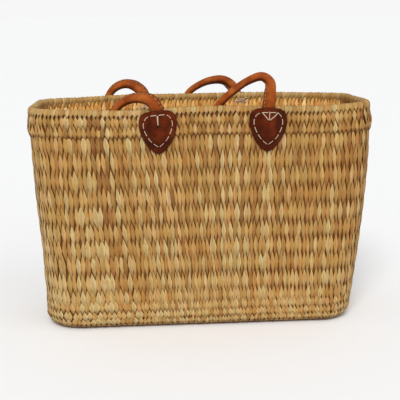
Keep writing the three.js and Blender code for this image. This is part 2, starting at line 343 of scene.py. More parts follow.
class NodeTree:
    """A node tree with named inputs and outputs, written in few lines."""

    def __init__(self, name: str, kind: str, inputs: dict[str, tuple], outputs: dict[str, str]) -> None:
        """Start a tree.

        Args:
            name: The tree's name.
            kind: GeometryNodeTree or ShaderNodeTree.
            inputs: Each input's kind and default value, None where it has none.
            outputs: Each output's kind.
        """
        self.tree = bpy.data.node_groups.new(name, kind)
        self.ids: dict[str, str] = {}
        for key, (socket_kind, value) in inputs.items():
            socket = self.new_socket(key, "INPUT", socket_kind)
            if value is not None:
                socket.default_value = value
            self.ids[key] = socket.identifier
        for key, socket_kind in outputs.items():
            self.new_socket(key, "OUTPUT", socket_kind)
        self.start = self.tree.nodes.new("NodeGroupInput").outputs
        self.end = self.tree.nodes.new("NodeGroupOutput").inputs

    def new_socket(self, name: str, way: str, kind: str) -> bpy.types.NodeTreeInterfaceSocket:
        """Add an input or an output."""
        return self.tree.interface.new_socket(name=name, in_out=way, socket_type="NodeSocket" + kind)

    def add(self, kind: str, inputs: dict | None = None, **settings: object) -> bpy.types.Node:
        """Add a node, link or set its inputs, and change its settings."""
        return add_node(self.tree, kind, inputs, **settings)

    def give(self, name: str, value: bpy.types.NodeSocket) -> None:
        """Link one of the tree's outputs."""
        self.tree.links.new(value, self.end[name])


def feed(tree: bpy.types.NodeTree, socket: bpy.types.NodeSocket, value: object) -> None:
    """Link an input, or set its own value.

    Args:
        tree: The tree.
        socket: The input.
        value: The output socket that it is linked from, or a value; a colour may leave out its alpha.
    """
    if isinstance(value, bpy.types.NodeSocket):
        tree.links.new(value, socket)
    elif socket.type == "RGBA" and len(value) == 3:
        socket.default_value = (*value, 1)
    else:
        socket.default_value = value


def add_node(tree: bpy.types.NodeTree, kind: str, inputs: dict | None = None, **settings: object) -> bpy.types.Node:
    """Add one node to a tree.

    Args:
        tree: The tree.
        kind: The node's type name.
        inputs: Input name or number to a value, or to the output socket that it is linked from.
        **settings: The node's own settings.

    Returns:
        The new node.
    """
    node = tree.nodes.new(kind)
    for name, value in settings.items():
        setattr(node, name, value)
    for name, value in (inputs or {}).items():
        feed(tree, node.inputs[name], value)
    return node


def maths(tree: bpy.types.NodeTree, operation: str, *values: object) -> bpy.types.NodeSocket:
    """One step of arithmetic on values or sockets, as the socket of its result."""
    return add_node(tree, "ShaderNodeMath", dict(enumerate(values)), operation=operation).outputs[0]


def scatter_tree() -> NodeTree:
    """The tree that sets one small shape on every point, each a little different.

    Returns:
        The tree, whose inputs are Shape, Lean, Wobble, Wobble Size, Seed and Finish.
    """
    t = NodeTree("scatter_pieces", "GeometryNodeTree", {
        "Geometry": ("Geometry", None), "Shape": ("Object", None), "Lean": ("Float", 0.05),
        "Wobble": ("Float", 0.3 * MM), "Wobble Size": ("Float", 70.0), "Seed": ("Int", 1),
        "Finish": ("Material", None),
    }, {"Geometry": "Geometry"})
    shape = t.add("GeometryNodeObjectInfo", {"Object": t.start["Shape"]}, transform_space="ORIGINAL")
    turn = t.add("GeometryNodeInputNamedAttribute", {"Name": "turn"}, data_type="FLOAT_VECTOR")
    size = t.add("GeometryNodeInputNamedAttribute", {"Name": "size"}, data_type="FLOAT_VECTOR")
    rotation = t.add("FunctionNodeEulerToRotation", {"Euler": turn.outputs["Attribute"]})
    copies = t.add("GeometryNodeInstanceOnPoints", {
        "Points": t.start["Geometry"], "Instance": shape.outputs["Geometry"],
        "Rotation": rotation.outputs["Rotation"], "Scale": size.outputs["Attribute"],
    })
    low = maths(t.tree, "MULTIPLY", t.start["Lean"], -1.0)
    chance = t.add("FunctionNodeRandomValue", {
        "Seed": t.start["Seed"], 2: low, 3: t.start["Lean"],
    }, data_type="FLOAT")
    twist = t.add("ShaderNodeCombineXYZ", {"Y": chance.outputs[1], "Z": chance.outputs[1]})
    to_turn = t.add("FunctionNodeEulerToRotation", {"Euler": twist.outputs[0]})
    leaned = t.add("GeometryNodeRotateInstances", {
        "Instances": copies.outputs["Instances"], "Rotation": to_turn.outputs["Rotation"], "Local Space": True,
    })
    real = t.add("GeometryNodeRealizeInstances", {"Geometry": leaned.outputs["Instances"]})
    cloud = t.add("ShaderNodeTexNoise", {"Scale": t.start["Wobble Size"], "Detail": 2.0})
    centred = t.add("ShaderNodeVectorMath", {0: cloud.outputs["Color"], 1: (0.5, 0.5, 0.5)}, operation="SUBTRACT")
    shift = t.add("ShaderNodeVectorMath", {0: centred.outputs[0], "Scale": t.start["Wobble"]}, operation="SCALE")
    moved = t.add("GeometryNodeSetPosition", {"Geometry": real.outputs[0], "Offset": shift.outputs[0]})
    done = t.add("GeometryNodeSetMaterial", {"Geometry": moved.outputs[0], "Material": t.start["Finish"]})
    t.give("Geometry", done.outputs[0])
    return t


@dataclass
class Places:
    """Where copies of a small shape go: places, directions, sizes and tones, one row each."""

    points: list = field(default_factory=list)
    turns: list = field(default_factory=list)
    sizes: list = field(default_factory=list)
    tones: list = field(default_factory=list)

    def add(self, points: np.ndarray, x: np.ndarray, y: np.ndarray, z: np.ndarray,
            sizes: np.ndarray, tones: np.ndarray) -> None:
        """Add copies.

        Args:
            points: Their middles.
            x: Their own x directions.
            y: Their own y directions.
            z: Their own z directions.
            sizes: Their scales along x, y and z.
            tones: Their tones, from 0, dark, to 1, pale.
        """
        for row in range(len(points)):
            turn = Matrix((x[row], y[row], z[row])).transposed().to_euler("XYZ")
            self.turns.append(tuple(turn))
        self.points.extend(points.tolist())
        self.sizes.extend(np.broadcast_to(sizes, (len(points), 3)).tolist())
        self.tones.extend(np.broadcast_to(tones, (len(points),)).tolist())

    def object(self, name: str) -> bpy.types.Object:
        """A mesh of bare points that carries the directions, sizes and tones.

        Args:
            name: The object's name.

        Returns:
            The object.
        """
        mesh = bpy.data.meshes.new(name)
        mesh.from_pydata(self.points, [], [])
        for key, rows in (("turn", self.turns), ("size", self.sizes)):
            mesh.attributes.new(key, "FLOAT_VECTOR", "POINT").data.foreach_set("vector", np.ravel(rows))
        mesh.attributes.new("tone", "FLOAT", "POINT").data.foreach_set("value", np.ravel(self.tones))
        made = bpy.data.objects.new(name, mesh)
        bpy.context.collection.objects.link(made)
        return made


def scatter(name: str, places: Places, shape: bpy.types.Mesh, finish: bpy.types.Material, seed: int,
            lean: float = 0.05, wobble: float = 0.3 * MM, wobble_size: float = 70.0) -> bpy.types.Object:
    """Set a small shape on every place and turn the result into one plain mesh.

    Args:
        name: The piece's name.
        places: Where the copies go.
        shape: The small shape.
        finish: The material.
        seed: Picks the random leans.
        lean: The largest random lean, in radians.
        wobble: How far the surface is pushed about.
        wobble_size: How fine that pushing is.

    Returns:
        The finished piece, at the origin.
    """
    carrier = places.object(name + "_points")
    stamp = bpy.data.objects.new(name + "_shape", shape)
    bpy.context.collection.objects.link(stamp)
    values = {"Shape": stamp, "Lean": lean, "Wobble": wobble, "Wobble Size": wobble_size, "Seed": seed,
              "Finish": finish}
    made = solidified(carrier, SCATTER, values, name)
    bpy.data.objects.remove(stamp)
    return made


def solidified(carrier: bpy.types.Object, tree: NodeTree, values: dict, name: str) -> bpy.types.Object:
    """Run a geometry tree on an object and keep what it makes as one plain mesh.

    Args:
        carrier: The object that the tree works on; it is removed.
        tree: The tree.
        values: A value for each of its named inputs.
        name: The new piece's name.

    Returns:
        The new piece, at the origin.
    """
    modifier = carrier.modifiers.new(name, "NODES")
    modifier.node_group = tree.tree
    for key, value in values.items():
        modifier[tree.ids[key]] = value
    graph = bpy.context.evaluated_depsgraph_get()
    graph.update()
    mesh = bpy.data.meshes.new_from_object(
        carrier.evaluated_get(graph), preserve_all_data_layers=True, depsgraph=graph
    )
    mesh.name = name
    carrier.modifiers.remove(modifier)
    bpy.data.objects.remove(carrier)
    made = bpy.data.objects.new(name, mesh)
    bpy.context.collection.objects.link(made)
    return made


def mesh_of(name: str, points: np.ndarray, faces: list, uvs: np.ndarray | None = None,
            values: dict | None = None) -> bpy.types.Mesh:
    """Make a smooth mesh.

    Args:
        name: The mesh's name.
        points: Its corners.
        faces: Its faces, as tuples of corner numbers.
        uvs: A pair for each corner, if the finish follows the surface.
        values: Attribute name to a value for each corner.

    Returns:
        The mesh.
    """
    mesh = bpy.data.meshes.new(name)
    mesh.from_pydata([tuple(p) for p in points], [], faces)
    if uvs is not None:
        layer = mesh.uv_layers.new(name="UVMap")
        corners = np.empty(len(mesh.loops), int)
        mesh.loops.foreach_get("vertex_index", corners)
        layer.data.foreach_set("uv", np.asarray(uvs, float)[corners].ravel())
    for key, column in (values or {}).items():
        mesh.attributes.new(key, "FLOAT", "POINT").data.foreach_set("value", np.asarray(column, float))
    mesh.polygons.foreach_set("use_smooth", np.ones(len(mesh.polygons), bool))
    mesh.update()
    return mesh


def grid_faces(rows: int, columns: int, closed_rows: bool) -> list:
    """Faces between rows of corners that are closed round, each row after the last.

    Args:
        rows: How many rows.
        columns: Corners in a row.
        closed_rows: True where the last row joins the first.

    Returns:
        The faces.
    """
    faces = []
    for k in range(rows if closed_rows else rows - 1):
        here, above = k * columns, (k + 1) % rows * columns
        for i in range(columns):
            j = (i + 1) % columns
            faces.append((here + i, here + j, above + j, above + i))
    return faces


def tube_faces(rows: int, columns: int) -> list:
    """Faces of a tube whose corners are followed by the two points that close its ends.

    Args:
        rows: How many rows of corners.
        columns: Corners in a row.

    Returns:
        The faces.
    """
    faces = grid_faces(rows, columns, False)
    low, last = rows * columns, (rows - 1) * columns
    for i in range(columns):
        j = (i + 1) % columns
        faces += [(low, j, i), (low + 1, last + i, last + j)]
    return faces


def ribbon(name: str, middle: np.ndarray, side: np.ndarray, face: np.ndarray, widths: np.ndarray,
           crown: float, thickness: float, tips: tuple, along: np.ndarray) -> bpy.types.Mesh:
    """A closed, slightly crowned strip along a path, which has crisp edges and ends in two points.

    Args:
        name: The mesh's name.
        middle: The path, along the strip's face.
        side: Unit vectors across the strip.
        face: Unit vectors out of its face.
        widths: Its width at each step.
        crown: How far the edges drop below the middle, for a width of 1.
        thickness: Its thickness.
        tips: The two end points.
        along: Each step's place along the strip, from 0 to 1, kept as V.

    Returns:
        The mesh.
    """
    # Across the strip, and the height there: 0 at its edges, 1 on its crown and below 0 on its underside.
    section = ((-0.5, 0.0), (-0.3, 0.62), (0.0, 1.0), (0.3, 0.62), (0.5, 0.0), (0.0, -1.0))
    edge_corners, underside = (0, 4), -crown - thickness * 0.7
    points, uvs = [], []
    for k in range(len(middle)):
        for across, height in section:
            drop = underside if height < 0 else crown * (height - 1)
            points.append(middle[k] + side[k] * across * widths[k] + face[k] * drop)
            uvs.append((across + 0.5, along[k]))
    sides, low = len(section), len(points)
    faces = [corners[::-1] for corners in tube_faces(len(middle), sides)]
    mesh = mesh_of(name, np.array([*points, *tips]), faces, np.array([*uvs, (0.5, 0.0), (0.5, 1.0)]))
    for edge in mesh.edges:
        a, b = edge.vertices
        edge.use_edge_sharp = a % sides == b % sides and a % sides in edge_corners and max(a, b) < low
    return mesh


class ReedForm(Enum):
    """How a reed shows between two dives: its reach up for a reach down of 1, and how many rings it has."""

    WALL = (0.82, 7)
    INSIDE = (0.84, 5)
    BAND_TOP = (0.62, 9)
    BAND_RIDGE = (1.5, 9)
    FOOT = (0.92, 7)

    def mesh(self) -> bpy.types.Mesh:
        """The reed's visible length: one wide, one deep, an arch above its row's line and a long V below.

        Returns:
            The mesh.
        """
        upper, rings = self.value
        below = rings // 2
        # Places along the reed, from close to its lower tip to close to its upper one; 0 is the row's line.
        share = np.r_[np.linspace(-0.93, 0, below + 1), np.linspace(0, 0.95, rings - below)[1:] ** 0.85]
        reach, zero = np.abs(share), np.zeros_like(share)
        width = np.where(share > 0, 1 - reach ** 1.25, 1 - reach ** 1.15)
        length = np.where(share > 0, share * upper, share)
        depth = -np.where(share > 0, 0.5 * reach ** 2.8, 0.58 * reach ** 1.6)
        middle = np.stack([zero, length, depth], axis=1)
        face = unit(np.stack([zero, -np.gradient(depth, length), np.ones_like(share)], axis=1))
        face[:, 1] *= 0.3
        side = np.tile([1.0, 0.0, 0.0], (len(share), 1))
        tips = tuple(np.array([0, y, -1.2]) for y in (-1.0, upper))
        return ribbon("reed_" + self.name.lower(), middle, side, face, width, crown=0.2, thickness=0.3,
                      tips=tips, along=0.5 + 0.5 * share)


@dataclass(frozen=True)
class ReedRow:
    """One row of reeds: its height, its reeds' reach down from its line, their width and their bulge."""

    height: float
    down: float
    width: float = 1.12
    crest: float = 1.0 * MM
    depth: float = 3.4 * MM


@dataclass
class Reeds:
    """The upright reeds: two sets that take turns to show, each with its own width and tone."""

    pairs: int = 208
    seed: int = 7
    place_jitter: float = 0.27
    tone: float = 0.54
    tone_drift: float = 0.07
    tone_spread: float = 0.14
    # How much paler the lowest rows are painted: painted light, for the light that the pale floor throws up.
    painted_floor_light: float = 0.36
    # Odd reeds: where their share of all the reeds begins or ends, and the range of their tones.
    odd_dark: tuple[float, ...] = (0.07, 0.14, 0.32)
    odd_pale: tuple[float, ...] = (0.9, 0.82, 1.0)
    row_wave: float = 0.8 * MM
    row_jitter: float = 0.55 * MM
    lift_jitter: float = 0.25 * MM
    tilt_jitter: float = 0.025
    ring_reed: float = 7.4 * MM
    ring_depth: float = 2.4 * MM
    ring_sunk: float = 0.2 * MM
    sharpest_turn: float = -0.2
    # Wide or odd reeds that show on the front: across in millimetres, tone and width.
    accents: tuple = (
        (-186, 0.98, 1.4), (-168, 0.95, 1.3), (-107, 0.97, 1.4), (-122, 0.34, 1.0), (46, 0.97, 1.35),
        (57, 0.9, 1.05), (91, 0.96, 1.3), (-150, 0.22, 1.05), (-30, 0.3, 1.0), (150, 0.34, 1.0), (8, 0.92, 1.15),
        (-62, 0.9, 1.2), (128, 0.25, 1.0), (185, 0.9, 1.2), (-210, 0.35, 1.0),
    )

    def __post_init__(self) -> None:
        """Choose each reed's place, width and tone."""
        chance = np.random.default_rng(self.seed)
        count = 2 * self.pairs
        self.places = (np.arange(count) + chance.uniform(-self.place_jitter, self.place_jitter, count)) / count
        self.bulks = np.ones(count)
        tones = self.tone + self.tone_drift * drift(self.places, self.seed + 1, 9)
        tones = tones + chance.normal(0, self.tone_spread, count)
        odd = chance.random(count)
        tones = np.where(odd < self.odd_dark[0], chance.uniform(*self.odd_dark[1:], count), tones)
        tones = np.where(odd > self.odd_pale[0], chance.uniform(*self.odd_pale[1:], count), tones)
        # A reed is set a little apart in tone from its two neighbours, so pale or dark ones don't crowd.
        beside = (np.roll(tones, 2) + np.roll(tones, -2)) / 2
        self.tones = np.clip(tones - 0.5 * (beside - tones.mean()), 0.12, 1.0)
        for across, tone, wide in self.accents:
            nearest = int(np.argmin(np.abs((self.places - SHAPE.around_at(across * MM) + 0.5) % 1 - 0.5)))
            self.tones[nearest] = tone
            self.bulks[nearest] = wide

    def lean(self, around: np.ndarray) -> np.ndarray:
        """How far the reeds lean out of plumb, most of all left of the front's middle.

        Args:
            around: Places round the rim.

        Returns:
            The leans, in radians.
        """
        points = SHAPE.loop(around, np.full(len(around), SHAPE.height), np.zeros(len(around)))
        x = points[:, 0] / (SHAPE.rim_width / 2)
        back = smooth_step(points[:, 1], -SHAPE.rim_depth / 2, SHAPE.rim_depth / 2)
        return (1 - back) * 0.11 * np.exp(-(((x + 0.48) / 0.5) ** 2)) - 0.02 * back

    def at_height(self, set_number: int, height: float) -> tuple[np.ndarray, np.ndarray, np.ndarray]:
        """One set's reeds at a height, where their lean has carried them.

        Args:
            set_number: 0 or 1.
            height: The height.

        Returns:
            Their places round the basket, their leans, and the widths that make neighbours touch.
        """
        mine = np.arange(set_number, 2 * self.pairs, 2)
        lean = self.lean(self.places[mine])
        around = self.places[mine] + lean * (SHAPE.height - height) / SHAPE.round_length
        before = np.roll(around, 1) - (np.arange(len(mine)) == 0)
        after = np.roll(around, -1) + (np.arange(len(mine)) == len(mine) - 1)
        return around, lean, (after - before) / 2 * SHAPE.round_length * self.bulks[mine]

    def row(self, places: Places, row: ReedRow, number: int, inside: bool = False) -> None:
        """Add one row of reeds to the wall.

        Args:
            places: Where to add them.
            row: The row.
            number: Its number, which says which set shows.
            inside: True on the wall's inner face.
        """
        chance = np.random.default_rng(self.seed * 100 + number + 1000 * inside)
        around, lean, widths = self.at_height((number + inside) % 2, row.height)
        count = len(around)
        wave = drift(around, self.seed + 50 + number, 7) * self.row_wave
        climb = SHAPE.climb_at(row.height) + wave + chance.normal(0, self.row_jitter, count)
        lift = chance.normal(0, self.lift_jitter, count)
        points = SHAPE.place(around, climb, (-SHAPE.wall - row.crest if inside else row.crest) + lift)
        _, along, up, outward = SHAPE.axes(around, climb, -SHAPE.wall if inside else 0.0)
        if inside:
            along, outward, lean = -along, -outward, -lean
        tilt = (lean + chance.normal(0, self.tilt_jitter, count))[:, None]
        x = along * np.cos(tilt) + up * np.sin(tilt)
        y = up * np.cos(tilt) - along * np.sin(tilt)
        sizes = np.stack([
            widths * row.width * chance.uniform(0.93, 1.07, count),
            row.down * chance.uniform(0.94, 1.06, count),
            row.depth * chance.uniform(0.85, 1.15, count),
        ], axis=1)
        # Painted light: the rows are painted paler towards the foot, for the light that the pale floor throws up.
        weathering_and_painted_light = self.painted_floor_light * (1 - row.height / SHAPE.height) ** 2
        own_tones = self.tones[(number + inside) % 2::2]
        tones = np.clip(own_tones + weathering_and_painted_light + chance.normal(0, 0.07, count), 0.02, 1)
        places.add(points, x, y, outward, sizes, tones)

    def ring(self, places: Places, climb: float, down: float, number: int, inside: bool = False) -> None:
        """Add one ring of reeds to the base.

        Args:
            places: Where to add them.
            climb: The ring's place, negative towards the middle of the base.
            down: The reeds' reach towards the middle.
            number: Its number.
            inside: True on the base's upper face.
        """
        chance = np.random.default_rng(self.seed * 300 + number + 1000 * inside)
        level = -SHAPE.wall if inside else 0.0
        middle = SHAPE.place(np.linspace(0, 1, 400), climb, level)
        length = np.linalg.norm(np.diff(middle, axis=0), axis=1).sum()
        count = max(24, round(length / self.ring_reed))
        around = (SHAPE.spread(climb, level, count) + 0.5 * (number % 2) / count) % 1.0
        points, along, up, outward = SHAPE.axes(around, np.full(count, climb), level)
        if inside:
            along, outward = -along, -outward
        points = points - outward * self.ring_sunk
        sizes = np.stack([
            length / count * chance.uniform(1.05, 1.2, count),
            np.full(count, down), np.full(count, self.ring_depth),
        ], axis=1)
        tones = np.clip(chance.normal(0.55, 0.15, count), 0.05, 1)
        # Where a narrow ring turns back on itself, a reed that would lie the wrong way round is left out.
        straight = (along * np.roll(along, 1, axis=0)).sum(axis=1) > self.sharpest_turn
        places.add(*(v[straight] for v in (points, along, up, outward, sizes, tones)))


@dataclass
class Finishes:
    """The materials, each made once."""

    made: dict = field(default_factory=dict)

    def get(self, finish: StrawFinish | LeatherFinish | ThreadFinish) -> bpy.types.Material:
        """Find a finish's material, made at its first use.

        Args:
            finish: The finish.

        Returns:
            The material.
        """
        if finish.name not in self.made:
            self.made[finish.name] = finish.material()
        return self.made[finish.name]


def new_material(name: str) -> tuple[bpy.types.Material, bpy.types.NodeTree, bpy.types.Node]:
    """Start a material.

    Args:
        name: Its name.

    Returns:
        The material, its tree and its main shader.
    """
    material = bpy.data.materials.new(name)
    material.use_nodes = True
    tree = material.node_tree
    return material, tree, tree.nodes["Principled BSDF"]


def fibre_group() -> bpy.types.NodeTree:
    """The group for fibres that run along V: straw and split reed.

    Returns:
        A group with inputs Vector, Seed, Lines and Length, and outputs Height and Streak.
    """
    g = NodeTree("fibres", "ShaderNodeTree", {
        "Vector": ("Vector", None), "Seed": ("Float", 0.0), "Lines": ("Float", 9.0), "Length": ("Float", 1.2),
    }, {"Height": "Float", "Streak": "Float"})
    apart = g.add("ShaderNodeSeparateXYZ", {0: g.start["Vector"]})
    across = maths(g.tree, "MULTIPLY", apart.outputs["X"], g.start["Lines"])
    along = maths(g.tree, "MULTIPLY", apart.outputs["Y"], g.start["Length"])
    spot = maths(g.tree, "MULTIPLY", g.start["Seed"], 173.0)
    where = g.add("ShaderNodeCombineXYZ", {0: across, 1: along, 2: spot})
    fine = g.add("ShaderNodeTexNoise", {"Vector": where.outputs[0], "Scale": 1.0, "Detail": 3.0, "Roughness": 0.6})
    half = g.add("ShaderNodeVectorMath", {0: where.outputs[0], 1: (0.35, 1.0, 1.0)}, operation="MULTIPLY")
    g.give("Height", fine.outputs[0])
    g.give("Streak", noise(g.tree, half.outputs[0], 1.0, 1.0))
    return g.tree


def grain_group() -> bpy.types.NodeTree:
    """The group for leather: fine pores, long soft creases and worn patches.

    Returns:
        A group with inputs Vector, Pores and Creases, and outputs Height and Patch.
    """
    g = NodeTree("leather_grain", "ShaderNodeTree", {
        "Vector": ("Vector", None), "Pores": ("Float", 900.0), "Creases": ("Float", 90.0),
    }, {"Height": "Float", "Patch": "Float"})
    pores = g.add("ShaderNodeTexVoronoi", {"Vector": g.start["Vector"], "Scale": g.start["Pores"]})
    creases = g.add("ShaderNodeTexNoise", {
        "Vector": g.start["Vector"], "Scale": g.start["Creases"], "Detail": 4.0, "Distortion": 0.8,
    })
    g.give("Height", maths(g.tree, "MULTIPLY_ADD", pores.outputs["Distance"], 0.3, creases.outputs[0]))
    g.give("Patch", noise(g.tree, g.start["Vector"], 45.0, 2.0))
    return g.tree


def ramp(tree: bpy.types.NodeTree, source: bpy.types.NodeSocket, stops: tuple) -> bpy.types.NodeSocket:
    """Colours chosen by a value.

    Args:
        tree: The material's tree.
        source: The value.
        stops: Pairs of a place and a colour.

    Returns:
        The colour's socket.
    """
    node = add_node(tree, "ShaderNodeValToRGB", {"Fac": source})
    elements = node.color_ramp.elements
    while len(elements) < len(stops):
        elements.new(0.5)
    for element, (place, colour) in zip(elements, stops):
        element.position = place
        element.color = (*colour, 1)
    return node.outputs["Color"]


def blend(tree: bpy.types.NodeTree, kind: str, share: object, a: object, b: object) -> bpy.types.NodeSocket:
    """Mix two colours.

    Args:
        tree: The material's tree.
        kind: The kind of mix, such as MULTIPLY.
        share: How much of it, a number or a socket.
        a: The first colour.
        b: The second colour.

    Returns:
        The colour's socket.
    """
    node = add_node(tree, "ShaderNodeMix", {0: share, 6: a, 7: b}, data_type="RGBA", blend_type=kind)
    return node.outputs[2]


def value_range(tree: bpy.types.NodeTree, source: bpy.types.NodeSocket, span: tuple[float, float],
                to: tuple[float, float]) -> bpy.types.NodeSocket:
    """Move a value smoothly from one range to another, held at the ends.

    Args:
        tree: The material's tree.
        source: The value.
        span: The range that it comes from.
        to: The range that it goes to.

    Returns:
        The new value's socket.
    """
    node = add_node(tree, "ShaderNodeMapRange", {
        "Value": source, "From Min": span[0], "From Max": span[1], "To Min": to[0], "To Max": to[1],
    }, interpolation_type="SMOOTHSTEP")
    return node.outputs[0]


def noise(tree: bpy.types.NodeTree, where: bpy.types.NodeSocket, scale: float, detail: float) -> bpy.types.NodeSocket:
    """A soft noise, as the socket of its value."""
    return add_node(tree, "ShaderNodeTexNoise", {"Vector": where, "Scale": scale, "Detail": detail}).outputs[0]


def attribute(tree: bpy.types.NodeTree, name: str) -> bpy.types.NodeSocket:
    """One of the mesh's own values, as a socket."""
    return add_node(tree, "ShaderNodeAttribute", attribute_name=name).outputs["Fac"]


def dress(tree: bpy.types.NodeTree, shader: bpy.types.Node, colour: object, roughness: object,
          height: bpy.types.NodeSocket, strength: float, distance: float) -> None:
    """Give the main shader its colour, roughness and relief.

    Args:
        tree: The material's tree.
        shader: The main shader.
        colour: A colour or its socket.
        roughness: A roughness or its socket.
        height: The relief's socket.
        strength: How strongly the relief shows.
        distance: How deep the relief is.
    """
    bump = add_node(tree, "ShaderNodeBump", {"Height": height, "Strength": strength, "Distance": distance})
    for name, value in (("Base Color", colour), ("Roughness", roughness), ("Normal", bump.outputs[0])):
        feed(tree, shader.inputs[name], value)


@dataclass(frozen=True)
class StrawFinish:
    """Dry reed: a tone for each reed, fibres along it, and painted shade where it dives into the weave and over its
    lower half.
    """

    name: str
    brown: tuple = (0.25, 0.105, 0.028)
    amber: tuple = (0.345, 0.17, 0.045)
    gold: tuple = (0.425, 0.237, 0.066)
    straw: tuple = (0.495, 0.303, 0.102)
    pale: tuple = (0.565, 0.4, 0.182)
    brightness: float = 1.0
    lines: float = 8.0
    shade: tuple = (0.42, 0.27, 0.13)
    bump: float = 0.55
    specular: float = 0.16

    def material(self) -> bpy.types.Material:
        """Build the material.

        Returns:
            The material.
        """
        material, tree, shader = new_material(self.name)
        tone = attribute(tree, "tone")
        surface = add_node(tree, "ShaderNodeUVMap", uv_map="UVMap").outputs["UV"]
        solid = add_node(tree, "ShaderNodeTexCoord").outputs["Object"]
        fibres = add_node(tree, "ShaderNodeGroup", {"Vector": surface, "Seed": tone, "Lines": self.lines},
                          node_tree=FIBRES)
        # The reed's own tone, with a slight tint that differs from reed to reed.
        stops = zip((0.0, 0.28, 0.52, 0.76, 1.0), (self.brown, self.amber, self.gold, self.straw, self.pale))
        colour = ramp(tree, tone, tuple((p, tuple(c * self.brightness for c in s)) for p, s in stops))
        odd = maths(tree, "FRACT", maths(tree, "MULTIPLY", tone, 61.0))
        tint = ramp(tree, odd, ((0.0, (0.96, 1.01, 0.92)), (0.45, (1.0, 1.0, 1.0)), (1.0, (1.06, 0.96, 1.0))))
        colour = blend(tree, "MULTIPLY", 0.6, colour, tint)
        # Streaks along its fibres, then broad weathering and small stains.
        streak = value_range(tree, fibres.outputs["Streak"], (0.3, 0.7), (0.72, 1.14))
        grey = add_node(tree, "ShaderNodeCombineColor", {0: streak, 1: streak, 2: streak}).outputs[0]
        colour = blend(tree, "MULTIPLY", 0.8, colour, grey)
        weathering_and_painted_light = value_range(tree, noise(tree, solid, 16.0, 2.0), (0.42, 0.68), (0.0, 0.5))
        colour = blend(tree, "MULTIPLY", weathering_and_painted_light, colour, (0.84, 0.66, 0.46))
        stained = value_range(tree, noise(tree, solid, 95.0, 3.0), (0.52, 0.68), (0.0, 0.55))
        colour = blend(tree, "MULTIPLY", stained, colour, (0.92, 0.72, 0.5))
        # Painted shade: darker where it dives at both ends, over its lower half and along the edges of its lower
        # half.
        apart = add_node(tree, "ShaderNodeSeparateXYZ", {0: surface})
        across, along = apart.outputs["X"], apart.outputs["Y"]
        low = value_range(tree, along, (0.0, 0.5), (0.78, 0.0))
        high = value_range(tree, along, (0.88, 1.0), (0.0, 0.45))
        from_middle = maths(tree, "ABSOLUTE", maths(tree, "SUBTRACT", across, 0.5))
        below = value_range(tree, along, (0.44, 0.56), (1.0, 0.12))
        edge = maths(tree, "MULTIPLY", value_range(tree, from_middle, (0.36, 0.5), (0.0, 0.8)), below)
        painted_dive_shade = maths(tree, "MAXIMUM", maths(tree, "MAXIMUM", low, high), edge)
        colour = blend(tree, "MULTIPLY", painted_dive_shade, colour, self.shade)
        rough = value_range(tree, fibres.outputs["Height"], (0.3, 0.7), (0.62, 0.46))
        dress(tree, shader, colour, rough, fibres.outputs["Height"], self.bump, 0.5 * MM)
        shader.inputs["Specular IOR Level"].default_value = self.specular
        return material


@dataclass(frozen=True)
class LeatherFinish:
    """Waxed leather: mottled colour, darker where the mesh's edge value says (burnished edges, the pads' stitch
    groove, and painted shade on the handles' undersides), pores and creases.
    """

    name: str
    colour: tuple
    deep: tuple
    worn: tuple
    roughness: tuple = (0.36, 0.52)
    bump: float = 0.4
    specular: float = 0.06
    # The radius of the hole that the centre stitches go into, as a share of the piece's UV square; the hole is
    # painted shade, not cut into the mesh.
    hole: float = 0.0

    def material(self) -> bpy.types.Material:
        """Build the material.

        Returns:
            The material.
        """
        material, tree, shader = new_material(self.name)
        solid = add_node(tree, "ShaderNodeTexCoord").outputs["Object"]
        grain = add_node(tree, "ShaderNodeGroup", {"Vector": solid}, node_tree=GRAIN)
        rubbed = value_range(tree, grain.outputs["Patch"], (0.4, 0.66), (0.0, 1.0))
        colour = blend(tree, "MIX", rubbed, self.colour, self.worn)
        fine = value_range(tree, grain.outputs["Height"], (0.35, 0.8), (0.5, 0.0))
        colour = blend(tree, "MIX", fine, colour, self.deep)
        # Darker by the edge value: burnished edges, the pads' stitch groove, and painted shade on the handles'
        # undersides.
        colour = blend(tree, "MIX", attribute(tree, "edge"), colour, self.deep)
        # Painted shade: the stitch hole is painted near black.
        if self.hole:
            surface = add_node(tree, "ShaderNodeUVMap", uv_map="UVMap").outputs["UV"]
            away = add_node(tree, "ShaderNodeVectorMath", {0: surface, 1: (0.5, 0.5, 0.0)}, operation="DISTANCE")
            inside = value_range(tree, away.outputs["Value"], (self.hole * 0.7, self.hole * 1.3), (0.92, 0.0))
            colour = blend(tree, "MIX", inside, colour, (0.006, 0.002, 0.001))
        rough = value_range(tree, grain.outputs["Patch"], (0.35, 0.65), self.roughness)
        dress(tree, shader, colour, rough, grain.outputs["Height"], self.bump, 0.4 * MM)
        shader.inputs["Specular IOR Level"].default_value = self.specular
        return material


@dataclass(frozen=True)
class ThreadFinish:
    """Waxed linen thread with a visible twist."""

    name: str
    colour: tuple = (0.56, 0.43, 0.3)
    shade: tuple = (0.3, 0.17, 0.09)
    roughness: float = 0.72

    def material(self) -> bpy.types.Material:
        """Build the material.

        Returns:
            The material.
        """
        material, tree, shader = new_material(self.name)
        twist = maths(tree, "PINGPONG", maths(tree, "ADD", attribute(tree, "turns"), attribute(tree, "side")), 0.5)
        dark = value_range(tree, twist, (0.0, 0.25), (0.5, 0.0))
        colour = blend(tree, "MIX", dark, self.colour, self.shade)
        dress(tree, shader, colour, self.roughness, twist, 0.6, 0.2 * MM)
        return material


def finished(piece: bpy.types.Object, nodes: tuple = ()) -> bpy.types.Object:
    """Hand a finished piece over: it rides with the basket and stands for the named nodes.

    Args:
        piece: The piece.
        nodes: The nodes that it stands for.

    Returns:
        The piece.
    """
    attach(piece, "root")
    if nodes:
        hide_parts(*nodes)
    log.info("%s: %d corners, %d faces", piece.name, len(piece.data.vertices), len(piece.data.polygons))
    return piece


